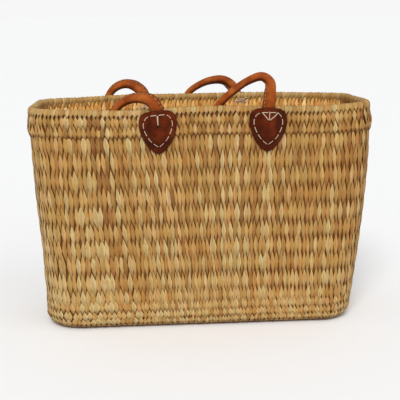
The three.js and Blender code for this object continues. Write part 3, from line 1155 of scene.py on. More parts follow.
def place_object(name: str, mesh: bpy.types.Mesh, finish: bpy.types.Material) -> bpy.types.Object:
    """Put a mesh in the scene with one material.

    Args:
        name: The object's name.
        mesh: The mesh.
        finish: The material.

    Returns:
        The object, at the origin.
    """
    mesh.materials.append(finish)
    made = bpy.data.objects.new(name, mesh)
    bpy.context.collection.objects.link(made)
    return made


@dataclass
class WovenBody:
    """The basket itself: a hidden core, and the reeds of wall, band, foot and base, outside and inside."""

    reeds: Reeds
    row_heights: tuple[float, ...] = tuple(
        h * MM for h in (47.4, 69.3, 95.5, 119.9, 143.4, 168.8, 194.7, 220.3, 245.6, 270.7)
    )
    foot_heights: tuple[float, ...] = tuple(h * MM for h in (11.3, 21.1, 33.5))
    foot_reaches: tuple[float, ...] = tuple(v * MM for v in (8.0, 9.2, 11.6))
    # The rows behind the band, on the inside: height, reach down and bulge, in millimetres.
    inner_rows: tuple = ((286, 14, 2.2), (300, 12, 3.4), (308.5, 9.5, 2.9))
    first_ring: float = 10.0 * MM
    ring_step: float = 11.5 * MM
    ring_reach: float = 10.0 * MM
    rings: int = 7
    core_columns: int = 180
    core_out: float = -1.6 * MM
    core_in: float = -3.7 * MM
    # The inner face's place along the reed, which sets how much painted shade it takes, and its paler tone, painted
    # light for the shaded inside.
    inner_shade: float = 0.46
    inner_painted_light_tone: float = 0.85

    def core(self) -> bpy.types.Object:
        """The dark cords that the reeds wind round, as one closed shell, with painted shade on its outer face.

        Returns:
            The finished piece.
        """
        around = np.linspace(0, 1, self.core_columns, endpoint=False)
        top = SHAPE.climb_at(SHAPE.collar_top + 3 * MM)
        inward = -(SHAPE.half_depth(0.0) - SHAPE.foot_radius - 6 * MM)
        climbs = np.r_[np.linspace(inward, 0, 5)[:-1], np.linspace(0, SHAPE.quarter, 6)[:-1],
                       np.linspace(SHAPE.quarter, SHAPE.climb_at(SHAPE.collar_foot - 2 * MM), 14),
                       np.linspace(SHAPE.climb_at(SHAPE.collar_foot + 2 * MM), top, 9)]
        outer = [SHAPE.place(around, climb, self.core_out) for climb in climbs]
        inner = [SHAPE.place(around, climb, self.core_in) for climb in climbs[::-1]]
        poles = [loop.mean(axis=0) for loop in (outer[0], inner[-1])]
        points = np.concatenate([*outer, *inner, poles])
        # The outer face keeps its UVs at zero and so takes the finish's full painted shade, which darkens the gaps
        # between reeds; the inner face takes less painted shade and a paler tone, as painted light.
        uvs, tones = np.zeros((len(points), 2)), np.full(len(points), WEFT_TONE)
        inside = slice(len(outer) * self.core_columns, len(points) - len(poles))
        uvs[inside, 1] = self.inner_shade
        tones[inside] = self.inner_painted_light_tone
        faces = tube_faces(len(outer) + len(inner), self.core_columns)
        mesh = mesh_of("weft_core", points, faces, uvs, {"tone": tones})
        return finished(place_object("weft_core", mesh, FINISHES.get(WEFT)), ("woven_body",))

    def rows(self) -> list[ReedRow]:
        """The wall's rows, each reaching down almost to the row below and up between the reeds of the row above.

        Returns:
            The rows, from the lowest up.
        """
        steps = np.diff((self.foot_heights[-1], *self.row_heights, SHAPE.ridge_height))
        return [ReedRow(h, max(0.93 * below, 0.86 * above))
                for h, below, above in zip(self.row_heights, steps[:-1], steps[1:])]

    def wall(self, inside: bool) -> bpy.types.Object:
        """The reeds of one of the wall's faces.

        Args:
            inside: True for the inner face.

        Returns:
            The finished piece.
        """
        rows = self.rows()
        if inside:
            rows += [ReedRow(height * MM, down * MM, crest=crest * MM) for height, down, crest in self.inner_rows]
        places = Places()
        for number, row in enumerate(rows):
            self.reeds.row(places, row, number, inside)
        name, finish, form = (("reeds_inside", STRAW_INSIDE_PAINTED_LIGHT, ReedForm.INSIDE) if inside
                              else ("reeds_wall", STRAW, ReedForm.WALL))
        piece = scatter(name, places, form.mesh(), FINISHES.get(finish), 11 + inside)
        return finished(piece)

    def collar(self) -> None:
        """The two short rows of the doubled band, each with its own reach up and down."""
        first = len(self.row_heights)
        ridge = ReedRow(SHAPE.ridge_height, 8.6 * MM, 1.16, 0.7 * MM, 5.6 * MM)
        upper = ReedRow(SHAPE.upper_row_height, 15.0 * MM, 1.14, 1.0 * MM, 3.6 * MM)
        rows = ((ridge, ReedForm.BAND_RIDGE, "reeds_band_ridge"), (upper, ReedForm.BAND_TOP, "reeds_band_top"))
        for number, (row, form, name) in enumerate(rows):
            places = Places()
            self.reeds.row(places, row, first + number)
            piece = scatter(name, places, form.mesh(), FINISHES.get(STRAW), 21 + number)
            finished(piece, ("collar_band",) if number == 0 else ())

    def foot(self, inside: bool) -> bpy.types.Object:
        """The short rows at the foot and the rings of the base, on one face.

        Args:
            inside: True for the inner face.

        Returns:
            The finished piece.
        """
        places = Places()
        for number, (height, down) in enumerate(zip(self.foot_heights, self.foot_reaches)):
            row = ReedRow(height, down, 1.16, 0.9 * MM, 2.6 * MM)
            self.reeds.row(places, row, number - len(self.foot_heights), inside)
        for ring in range(self.rings):
            self.reeds.ring(places, self.first_ring - ring * self.ring_step, self.ring_reach, ring, inside)
        name, finish = ("reeds_floor", STRAW_INSIDE_PAINTED_LIGHT) if inside else ("reeds_foot", STRAW)
        piece = scatter(name, places, ReedForm.FOOT.mesh(), FINISHES.get(finish), 31 + inside)
        return finished(piece)

    def build(self) -> None:
        """Make the whole basket below the rim."""
        self.core()
        for inside in (False, True):
            self.wall(inside)
            self.foot(inside)
        self.collar()


@dataclass
class Rim:
    """The rim: a core ring and the last reeds folded over it, down to a point outside and inside."""

    reeds: Reeds
    row_number: int = 12
    half_width: float = 5.6 * MM
    half_height: float = 5.2 * MM
    middle_out: float = -4.0 * MM
    middle_height: float = 315.0 * MM
    core_columns: int = 200
    core_sides: int = 10
    core_share: float = 0.8
    slant: float = 1.6 / 7
    # The fold's path below the roll: inwards from the roll's middle, up from it, and the reed's width.
    outer_end: tuple = ((-5.2, -7.8, 0.12), (-5.7, -5.2, 0.36), (-5.9, -2.6, 0.66))
    inner_end: tuple = ((5.5, -2.6, 0.7), (5.2, -5.2, 0.42), (4.8, -8.0, 0.16))

    def loop_at(self, around: np.ndarray, inward: float, up: float) -> np.ndarray:
        """Points beside the roll's middle line."""
        return SHAPE.place(around, SHAPE.climb_at(self.middle_height) + up, self.middle_out - inward)

    def core(self) -> bpy.types.Object:
        """The ring that the reeds go round.

        Returns:
            The finished piece.
        """
        around = np.linspace(0, 1, self.core_columns, endpoint=False)
        width, height = self.half_width * self.core_share, self.half_height * self.core_share
        turns = np.linspace(0, 2 * math.pi, self.core_sides, endpoint=False)
        points = np.concatenate([self.loop_at(around, -width * math.cos(t), height * math.sin(t)) for t in turns])
        faces = grid_faces(self.core_sides, self.core_columns, True)
        # Dark brown, with the finish's full painted shade from its UVs at zero where it shows between the folds.
        tones = np.full(len(points), WEFT_TONE)
        mesh = mesh_of("rim_core", points, faces, np.zeros((len(points), 2)), {"tone": tones})
        return finished(place_object("rim_core", mesh, FINISHES.get(WEFT)))

    def fold(self) -> bpy.types.Mesh:
        """One folded reed, one wide: a strip that ends in a point on both sides of the wall.

        Returns:
            The mesh.
        """
        turns = np.radians(np.linspace(-8, 188, 10))
        over = [(-self.half_width * math.cos(t), self.half_height * math.sin(t), 1.0) for t in turns]
        ends = [[(y * MM, z * MM, w) for y, z, w in end] for end in (self.outer_end, self.inner_end)]
        path = np.array(ends[0] + over + ends[1])
        zero = np.zeros(len(path))
        middle = np.stack([zero, path[:, 0], path[:, 1]], axis=1)
        along = unit(np.gradient(middle, axis=0))
        face = np.stack([zero, -along[:, 2], along[:, 1]], axis=1)
        middle[:, 0] = self.slant * np.linspace(-1, 1, len(path))
        side = np.tile([1.0, 0.0, 0.0], (len(path), 1))
        tips = (middle[0] + [0, 1.2 * MM, -2.2 * MM], middle[-1] + [0, -0.9 * MM, -2.6 * MM])
        # The place on the reed that each step takes its painted shade from: dark at both ends, clear on top.
        painted_shade_along = np.r_[0.1, 0.22, 0.36, np.full(len(over), 0.6), 0.6, 0.55, 0.45]
        return ribbon("rim_fold", middle, side, face, path[:, 2], 1.0 * MM, 0.8 * MM, tips, painted_shade_along)

    def cover(self) -> bpy.types.Object:
        """All the folded reeds, side by side.

        Returns:
            The finished piece.
        """
        around, _, widths = self.reeds.at_height(self.row_number % 2, SHAPE.height)
        own_tones = self.reeds.tones[self.row_number % 2::2]
        count = len(around)
        chance = np.random.default_rng(5)
        points = self.loop_at(around, 0.0, 0.0)
        step = 2 * MM / SHAPE.round_length
        along = unit(self.loop_at(around + step, 0.0, 0.0) - self.loop_at(around - step, 0.0, 0.0))
        up = np.tile([0.0, 0.0, 1.0], (count, 1))
        up = unit(up - (up * along).sum(-1, keepdims=True) * along)
        sizes = np.stack([widths * chance.uniform(1.06, 1.2, count),
                          chance.uniform(0.97, 1.04, count), chance.uniform(0.95, 1.07, count)], axis=1)
        tones = np.clip(own_tones * 0.6 + 0.42 + chance.normal(0, 0.06, count), 0.1, 1)
        places = Places()
        places.add(points, along, np.cross(up, along), up, sizes, tones)
        piece = scatter("rim_folds", places, self.fold(), FINISHES.get(STRAW_RIM), 41, 0.05, 0.5 * MM)
        return finished(piece, ("rim_roll",))

    def build(self) -> None:
        """Make the rim."""
        self.core()
        self.cover()


class Side(Enum):
    """Front or back of the basket: the sign of its Y."""

    FRONT = -1
    BACK = 1


@dataclass(frozen=True)
class PadForm:
    """Sizes that every pad and handle end shares with the solids."""

    width: float = 51.6 * MM
    height: float = 61.4 * MM
    top: float = 319 * MM
    thickness: float = 2.6 * MM
    end_width: float = 16 * MM
    end_thickness: float = 5 * MM
    end_height: float = 288 * MM
    # How its back lies: off the wall, up onto the band, over the handle's end and up with the handle.
    off_wall: float = 1.0 * MM
    onto_band: tuple[float, ...] = (267 * MM, 288 * MM)
    band_lift: float = 3.9 * MM
    over_end: tuple[float, ...] = (-20 * MM, -6 * MM)
    end_lift: float = 6.2 * MM
    with_handle: float = 4 * MM
    handle_lift: float = 3.6 * MM
    channel: tuple[float, ...] = (0.42, 1.1)
    # How its face is worked: a soft middle, a groove under the stitches and a rounded edge.
    cushion: float = 1.4 * MM
    groove: float = 0.45 * MM
    rounding: float = 0.9 * MM
    # Its edge and its loop of stitches, right half: shares of half its width and of its height.
    across: tuple[float, ...] = (0.0, 0.36, 0.72, 0.94, 1.0, 0.93, 0.77, 0.55, 0.28, 0.0)
    down: tuple[float, ...] = (0.0, 0.008, 0.052, 0.155, 0.3, 0.49, 0.67, 0.83, 0.95, 1.0)
    loop_across: tuple[float, ...] = (0.0, 0.42, 0.76, 0.96, 1.0, 0.88, 0.62, 0.32, 0.0)
    loop_down: tuple[float, ...] = (0.0, 0.0, 0.065, 0.2, 0.34, 0.53, 0.73, 0.88, 1.0)
    loop_top: float = 0.1
    loop_foot: float = 0.85


PAD = PadForm()


class Stitching(Enum):
    """The stitches in the middle of a pad: one upright, or a fan of three to one hole."""

    # How far below the pad's top edge its hole is, then each stitch's top: across and down, in millimetres.
    ONE = (21.0, ((-0.45, 7.4), (0.45, 7.6)))
    FAN = (17.2, ((-9.6, 6.0), (0.4, 5.2), (13.0, 6.4)))

    @property
    def hole(self) -> np.ndarray:
        """The hole, in the pad's own plane."""
        return np.array([0.0, -self.value[0] * MM])


def face_outwards(mesh: bpy.types.Mesh) -> None:
    """Flip a closed mesh whose faces point inwards.

    Args:
        mesh: The mesh.
    """
    volume = sum(face.center.dot(face.normal) * face.area for face in mesh.polygons)
    if volume < 0:
        mesh.flip_normals()


def thread_tree() -> NodeTree:
    """The tree that turns lines into thread: a round tube along each, with its twist kept for the finish.

    Returns:
        The tree, whose inputs are Thickness, Pitch and Finish.
    """
    t = NodeTree("lay_thread", "GeometryNodeTree", {
        "Geometry": ("Geometry", None), "Thickness": ("Float", 1.3 * MM), "Pitch": ("Float", 2.4 * MM),
        "Finish": ("Material", None),
    }, {"Geometry": "Geometry"})
    line = t.add("GeometryNodeMeshToCurve", {"Mesh": t.start["Geometry"]})
    where = t.add("GeometryNodeSplineParameter")
    turns = maths(t.tree, "DIVIDE", where.outputs["Length"], t.start["Pitch"])
    marked = t.add("GeometryNodeStoreNamedAttribute", {
        "Geometry": line.outputs[0], "Name": "turns", "Value": turns,
    }, domain="POINT")
    radius = maths(t.tree, "MULTIPLY", t.start["Thickness"], 0.5)
    circle = t.add("GeometryNodeCurvePrimitiveCircle", {"Resolution": 8, "Radius": radius})
    round_it = t.add("GeometryNodeSplineParameter")
    side = t.add("GeometryNodeStoreNamedAttribute", {
        "Geometry": circle.outputs[0], "Name": "side", "Value": round_it.outputs["Factor"],
    }, domain="POINT")
    tube = t.add("GeometryNodeCurveToMesh", {
        "Curve": marked.outputs[0], "Profile Curve": side.outputs[0], "Fill Caps": True,
    })
    real = t.add("GeometryNodeRealizeInstances", {"Geometry": tube.outputs[0]})
    done = t.add("GeometryNodeSetMaterial", {"Geometry": real.outputs[0], "Material": t.start["Finish"]})
    t.give("Geometry", done.outputs[0])
    return t


STRAW = StrawFinish("straw", brightness=0.945)
# The inner faces' straw, painted much paler than the outer: painted light where the inside lies in shade, with a
# softer painted shade.
STRAW_INSIDE_PAINTED_LIGHT = StrawFinish("straw_inside_painted_light", brightness=1.7, shade=(0.62, 0.45, 0.28))
STRAW_RIM = StrawFinish("straw_rim", brightness=0.86)
# The cords' finish: a dark brown tone, darkened further by painted shade where a piece leaves its UVs at zero.
WEFT = StrawFinish("hidden_weft")
WEFT_TONE = 0.12
TAN = LeatherFinish("tan_leather", (0.285, 0.06, 0.0085), (0.06, 0.009, 0.002), (0.39, 0.1, 0.018))
BROWN = LeatherFinish("brown_leather", (0.064, 0.009, 0.0016), (0.026, 0.004, 0.001), (0.122, 0.018, 0.003),
                      hole=0.013)
THREAD = ThreadFinish("linen_thread")
FINE_THREAD = ThreadFinish("fine_thread", (0.5, 0.27, 0.12), (0.25, 0.1, 0.04))

SCATTER = scatter_tree()
LAY_THREAD = thread_tree()
FIBRES = fibre_group()
GRAIN = grain_group()
FINISHES = Finishes()


@dataclass
class Thread:
    """Stitches, as lines of points that each begin and end inside what is sewn."""

    name: str
    thickness: float
    lines: list = field(default_factory=list)

    def stitch(self, points: np.ndarray, outward: np.ndarray, sink: float = 1.6 * MM) -> None:
        """Add a stitch that lies on a surface and goes into it at both ends.

        Args:
            points: Points of the surface, in order.
            outward: The surface's direction at each.
            sink: How deep its ends go in.
        """
        raised = points + outward * self.thickness * 0.32
        begin, end = (points[k] - outward[k] * sink for k in (0, -1))
        first, last = (raised[k] - outward[k] * self.thickness * 0.2 for k in (0, -1))
        inset = [raised[0] * 0.9 + raised[1] * 0.1, *raised[1:-1], raised[-1] * 0.9 + raised[-2] * 0.1]
        self.lines.append(np.array([begin, first, *inset, last, end]))

    def build(self, finish: bpy.types.Material) -> bpy.types.Object:
        """Make all the stitches as one plain mesh.

        Args:
            finish: The material.

        Returns:
            The finished piece.
        """
        counts = np.cumsum([0] + [len(line) for line in self.lines])
        edges = [(k, k + 1) for a, b in zip(counts[:-1], counts[1:]) for k in range(a, b - 1)]
        mesh = bpy.data.meshes.new(self.name)
        mesh.from_pydata(np.concatenate(self.lines).tolist(), edges, [])
        carrier = bpy.data.objects.new(self.name + "_lines", mesh)
        bpy.context.collection.objects.link(carrier)
        values = {"Thickness": self.thickness, "Pitch": self.thickness * 2, "Finish": finish}
        return finished(solidified(carrier, LAY_THREAD, values, self.name))


@dataclass
class Pad:
    """A heart-shaped leather pad with its loop of stitches, sewn over a handle's end."""

    name: str
    node: str
    x: float
    side: Side
    stitching: Stitching
    tilt: float = 0.0
    points_round: int = 88
    stitches: int = 12
    stitch_loop: float = 0.76
    face_rings: tuple[float, ...] = (
        0.1, 0.2, 0.3, 0.4, 0.5, 0.58, 0.65, 0.7, 0.735, 0.77, 0.805, 0.84, 0.9, 0.95, 0.98, 1.0
    )
    # Loose stitches that tie the pad on inside the rim: left, right, and how far down they begin and end.
    tied: tuple = ((-2, 11, 9.5, 7), (-9, 7, 12.5, 10), (-4, 10, 11.5, 14), (-9, 0, 15, 13), (2, 8, 17, 12))
    tie_drop: float = 0.0

    def outline(self) -> np.ndarray:
        """The pad's edge, in its own plane: x to the right and z up from its top edge.

        Returns:
            The edge's points, clockwise from the top.
        """
        keys = np.arange(len(PAD.across))
        fine = np.linspace(0, keys[-1], self.points_round // 2 + 1)
        right = np.stack([smooth_between(keys, PAD.across, fine) * PAD.width / 2,
                          -smooth_between(keys, PAD.down, fine) * PAD.height], axis=1)
        left = right[1:-1][::-1] * [-1, 1]
        return np.concatenate([right, left])

    @property
    def centre(self) -> np.ndarray:
        """The point that the rings close in on."""
        return np.array([0.0, -0.42 * PAD.height])

    def lies_at(self, flat: np.ndarray) -> np.ndarray:
        """How far the pad's back is from the basket's middle.

        Args:
            flat: Points in the pad's own plane.

        Returns:
            The distances.
        """
        z = PAD.top + flat[..., 1]
        lying = SHAPE.half_depth(z) + PAD.off_wall + smooth_step(z, *PAD.onto_band) * PAD.band_lift
        beside = 1 - smooth_step(np.abs(flat[..., 0]), *(PAD.end_width * share for share in PAD.channel))
        above = smooth_step(z, *(PAD.end_height + step for step in PAD.over_end))
        rising = smooth_step(z, PAD.end_height + PAD.with_handle, PAD.top)
        return lying + beside * (above * PAD.end_lift + rising * PAD.handle_lift)

    def point(self, flat: np.ndarray, ring: np.ndarray, extra: float = 0.0) -> np.ndarray:
        """Points of the pad's face.

        Args:
            flat: Points in the pad's own plane.
            ring: Their share of the way from the centre to the edge.
            extra: A distance out of the face.

        Returns:
            The points in the basket's frame.
        """
        soft = PAD.cushion * (1 - smooth_step(ring, 0.3, self.stitch_loop))
        groove = PAD.groove * np.exp(-(((ring - self.stitch_loop) / 0.035) ** 2))
        edge = PAD.rounding * smooth_step(ring, 0.955, 1.0)
        deep = self.lies_at(flat) + PAD.thickness + soft - groove - edge + extra
        turned = self.turned(flat)
        points = np.stack([self.x + turned[..., 0], self.side.value * deep, PAD.top + turned[..., 1]], axis=-1)
        return SHAPE.settle(points)

    def turned(self, flat: np.ndarray) -> np.ndarray:
        """Turn points of the pad's plane by its small tilt.

        Args:
            flat: The points.

        Returns:
            The turned points.
        """
        x, z = np.moveaxis(flat - self.centre, -1, 0)
        cos, sin = math.cos(self.tilt), math.sin(self.tilt)
        return self.centre + np.stack([x * cos - z * sin, x * sin + z * cos], axis=-1)

    def leather(self) -> bpy.types.Object:
        """The pad itself: rings from the middle of its face out to the edge, and back in behind.

        Returns:
            The finished piece.
        """
        rim = self.outline()
        behind = ((1.0, PAD.rounding - PAD.thickness), (0.5, -PAD.thickness - 1.0 * MM))
        rings = [*((share, 0.0) for share in self.face_rings), *behind]
        flats = [self.centre + (rim - self.centre) * share for share, _ in rings]
        loops = [self.point(flat, np.full(len(rim), share), extra) for flat, (share, extra) in zip(flats, rings)]
        middle = np.array([self.centre])
        poles = [self.point(middle, np.array([0.0]), extra) for extra in (0.0, -PAD.thickness - 1.0 * MM)]
        shares = np.r_[np.repeat([share for share, _ in rings], len(rim)), 0.0, 0.0]
        dark = 0.6 * smooth_step(shares, 0.94, 1.0) + 0.35 * np.exp(-(((shares - self.stitch_loop) / 0.04) ** 2))
        uvs = 0.5 + (np.concatenate([*flats, middle, middle]) - self.stitching.hole) / (2 * PAD.height)
        mesh = mesh_of(self.name, np.concatenate([*loops, *poles]), tube_faces(len(loops), len(rim)), uvs,
                       {"edge": np.clip(dark, 0, 1)})
        face_outwards(mesh)
        return finished(place_object(self.name, mesh, FINISHES.get(BROWN)), (self.node,))

    def stitch_outline(self) -> np.ndarray:
        """The loop of stitches, like the pad's edge but with a sharper tip.

        Returns:
            Points of the pad's plane, from the top round to the top again.
        """
        keys = np.arange(len(PAD.loop_across))
        fine = np.linspace(0, keys[-1], 60)
        across = smooth_between(keys, PAD.loop_across, fine) * PAD.width / 2 * self.stitch_loop
        down = PAD.loop_top + smooth_between(keys, PAD.loop_down, fine) * (PAD.loop_foot - PAD.loop_top)
        right = np.stack([across, -down * PAD.height], axis=1)
        return np.concatenate([right, right[:-1][::-1] * [-1, 1]])

    def stitch_lines(self) -> list:
        """Every stitch on the pad's face, the loop first.

        Returns:
            For each, its points in the pad's own plane and their shares of the way to the edge.
        """
        closed = self.stitch_outline()
        length = np.r_[0, np.cumsum(np.linalg.norm(np.diff(closed, axis=0), axis=1))]
        step = length[-1] / self.stitches
        lines = []
        for number in range(self.stitches):
            at = step * (number + np.linspace(0.17, 0.83, 7))
            flat = np.stack([np.interp(at, length, closed[:, k]) for k in (0, 1)], axis=1)
            lines.append((flat, np.full(7, self.stitch_loop)))
        for x, down in self.stitching.value[1]:
            top = np.array([x * MM, -down * MM])
            share = np.linspace(0, 0.9, 6)[:, None]
            lines.append((top * (1 - share) + self.stitching.hole * share, np.linspace(self.stitch_loop, 0.4, 6)))
        return lines

    def sew(self, thread: Thread) -> None:
        """Add the pad's stitches on its face and on the inside of the wall.

        Args:
            thread: The thread to sew with.
        """
        for number, (flat, ring) in enumerate(self.stitch_lines()):
            outward = np.tile([0.0, float(self.side.value), 0.0], (len(flat), 1))
            thread.stitch(self.point(flat, ring, 0.1 * MM), outward)
            turned = self.turned(flat)
            if number < self.stitches and PAD.top + turned[:, 1].max() < 300 * MM:
                self.sew_inside(thread, turned)
        for left, right, begin, end in self.tied:
            share = np.linspace(0, 1, 5)
            down = (begin + (end - begin) * share) * MM + self.tie_drop
            self.sew_inside(thread, np.stack([(left + (right - left) * share) * MM, -down], axis=1))

    def sew_inside(self, thread: Thread, turned: np.ndarray) -> None:
        """Lay one stitch on the inner face of the wall, behind the pad.

        Args:
            thread: The thread to sew with.
            turned: Its points in the pad's plane, across and up from the pad's top edge.
        """
        z = PAD.top + turned[:, 1]
        folded = smooth_step(z, 302 * MM, 311 * MM) * 2.6 * MM
        y = self.side.value * (SHAPE.half_depth(z) - SHAPE.wall - 2.4 * MM - folded)
        inward = np.tile([0.0, -float(self.side.value), 0.0], (len(turned), 1))
        thread.stitch(SHAPE.settle(np.stack([self.x + turned[:, 0], y, z], axis=1)), inward)

    def build(self, thread: Thread) -> None:
        """Make the pad and add its stitches."""
        self.leather()
        self.sew(thread)


@dataclass(frozen=True)
class HandleForm:
    """Sizes that both handles share with the solids."""

    diameter: float = 12 * MM
    flat_length: float = 34 * MM
    ridge_proud: float = 4 * MM
    gap: float = 0.3 * MM
    rim_proud: float = 1.5 * MM
    rim_width: float = 11 * MM

    @property
    def sewn(self) -> float:
        """Distance of a sewn end from the basket's middle."""
        return SHAPE.rim_depth / 2 + self.ridge_proud + self.gap + PAD.end_thickness / 2

    @property
    def inside(self) -> float:
        """Distance of a handle that hangs inside the rim."""
        return SHAPE.rim_depth / 2 + self.rim_proud - self.rim_width - self.diameter / 2 - 1.5 * MM

    @property
    def outside(self) -> float:
        """Distance of a handle that hangs outside the rim."""
        return SHAPE.rim_depth / 2 + self.ridge_proud + self.diameter / 2 + 1.5 * MM


FORM = HandleForm()

# Each handle's route, in millimetres: across from the left or right pad, out from its own base
# distance, and up from the rim. The base distance is the sewn, inside or outside one. Both sewn ends
# are added where the curve is made.
FRONT_ROUTE = (
    ("left", -3, "sewn", 0.8, 2), ("left", -9, "sewn", -1, 12), ("left", -23, "sewn", -10, 17),
    ("left", -40, "inside", 6, 14.5), ("left", -56, "inside", 0, 3), ("left", -64, "inside", 0, -16),
    ("left", -64, "inside", 0, -38), ("left", -56, "inside", 0, -60), ("left", -36, "inside", 0, -76),
    ("left", -8, "inside", 0, -82), ("right", -128, "inside", 0, -78), ("right", -105, "inside", 0, -60),
    ("right", -88, "inside", 0, -35), ("right", -76, "inside", 0, -12.5), ("right", -61, "inside", 2, 7.2),
    ("right", -45, "inside", 5, 22), ("right", -28, "inside", 9, 34.5), ("right", -8, "sewn", -7, 42.5),
    ("right", 2.5, "sewn", -1, 35.5), ("right", 3.5, "sewn", 1, 20), ("right", 2, "sewn", 1.2, 3),
)
BACK_ROUTE = (
    ("left", -3, "sewn", 1.2, 2),
    ("left", -12, "outside", 0, 10.5), ("left", -26, "outside", 3, 16), ("left", -43, "outside", 6, 11.5),
    ("left", -54.5, "outside", 7, -0.5), ("left", -60, "outside", 6, -18), ("left", -60, "outside", 3, -40),
    ("left", -51, "outside", 0, -62), ("left", -31, "outside", -2, -77), ("left", -3, "outside", -3, -83),
    ("right", -128, "outside", -2, -78), ("right", -106, "outside", 0, -61), ("right", -93, "outside", 3, -37),
    ("right", -87, "outside", 6, -14), ("right", -78.5, "outside", 7, 2), ("right", -62, "outside", 6, 13.5),
    ("right", -43, "outside", 4, 20.5), ("right", -25, "outside", 2, 21), ("right", -11.5, "outside", 0, 13.5),
    ("right", -4, "sewn", 1.2, 1),
)


def curve_through(knots: np.ndarray, count: int) -> np.ndarray:
    """Evenly spaced points of the smooth curve through a route's points.

    Args:
        knots: The route.
        count: How many points.

    Returns:
        The points.
    """
    full = np.concatenate([[2 * knots[0] - knots[1]], knots, [2 * knots[-1] - knots[-2]]])
    pieces = []
    for k in range(1, len(full) - 2):
        p0, p1, p2, p3 = full[k - 1:k + 3]
        d0, d1, d2 = (math.sqrt(np.linalg.norm(b - a)) for a, b in ((p0, p1), (p1, p2), (p2, p3)))
        m1 = ((p1 - p0) / d0 - (p2 - p0) / (d0 + d1) + (p2 - p1) / d1) * d1
        m2 = ((p2 - p1) / d1 - (p3 - p1) / (d1 + d2) + (p3 - p2) / d2) * d1
        t = np.linspace(0, 1, 24, endpoint=False)[:, None]
        pieces.append((2 * t**3 - 3 * t**2 + 1) * p1 + (t**3 - 2 * t**2 + t) * m1
                      + (3 * t**2 - 2 * t**3) * p2 + (t**3 - t**2) * m2)
    fine = np.concatenate([*pieces, knots[-1:]])
    length = np.r_[0, np.cumsum(np.linalg.norm(np.diff(fine, axis=0), axis=1))]
    at = np.linspace(0, length[-1], count)
    return np.stack([np.interp(at, length, fine[:, k]) for k in range(3)], axis=1)


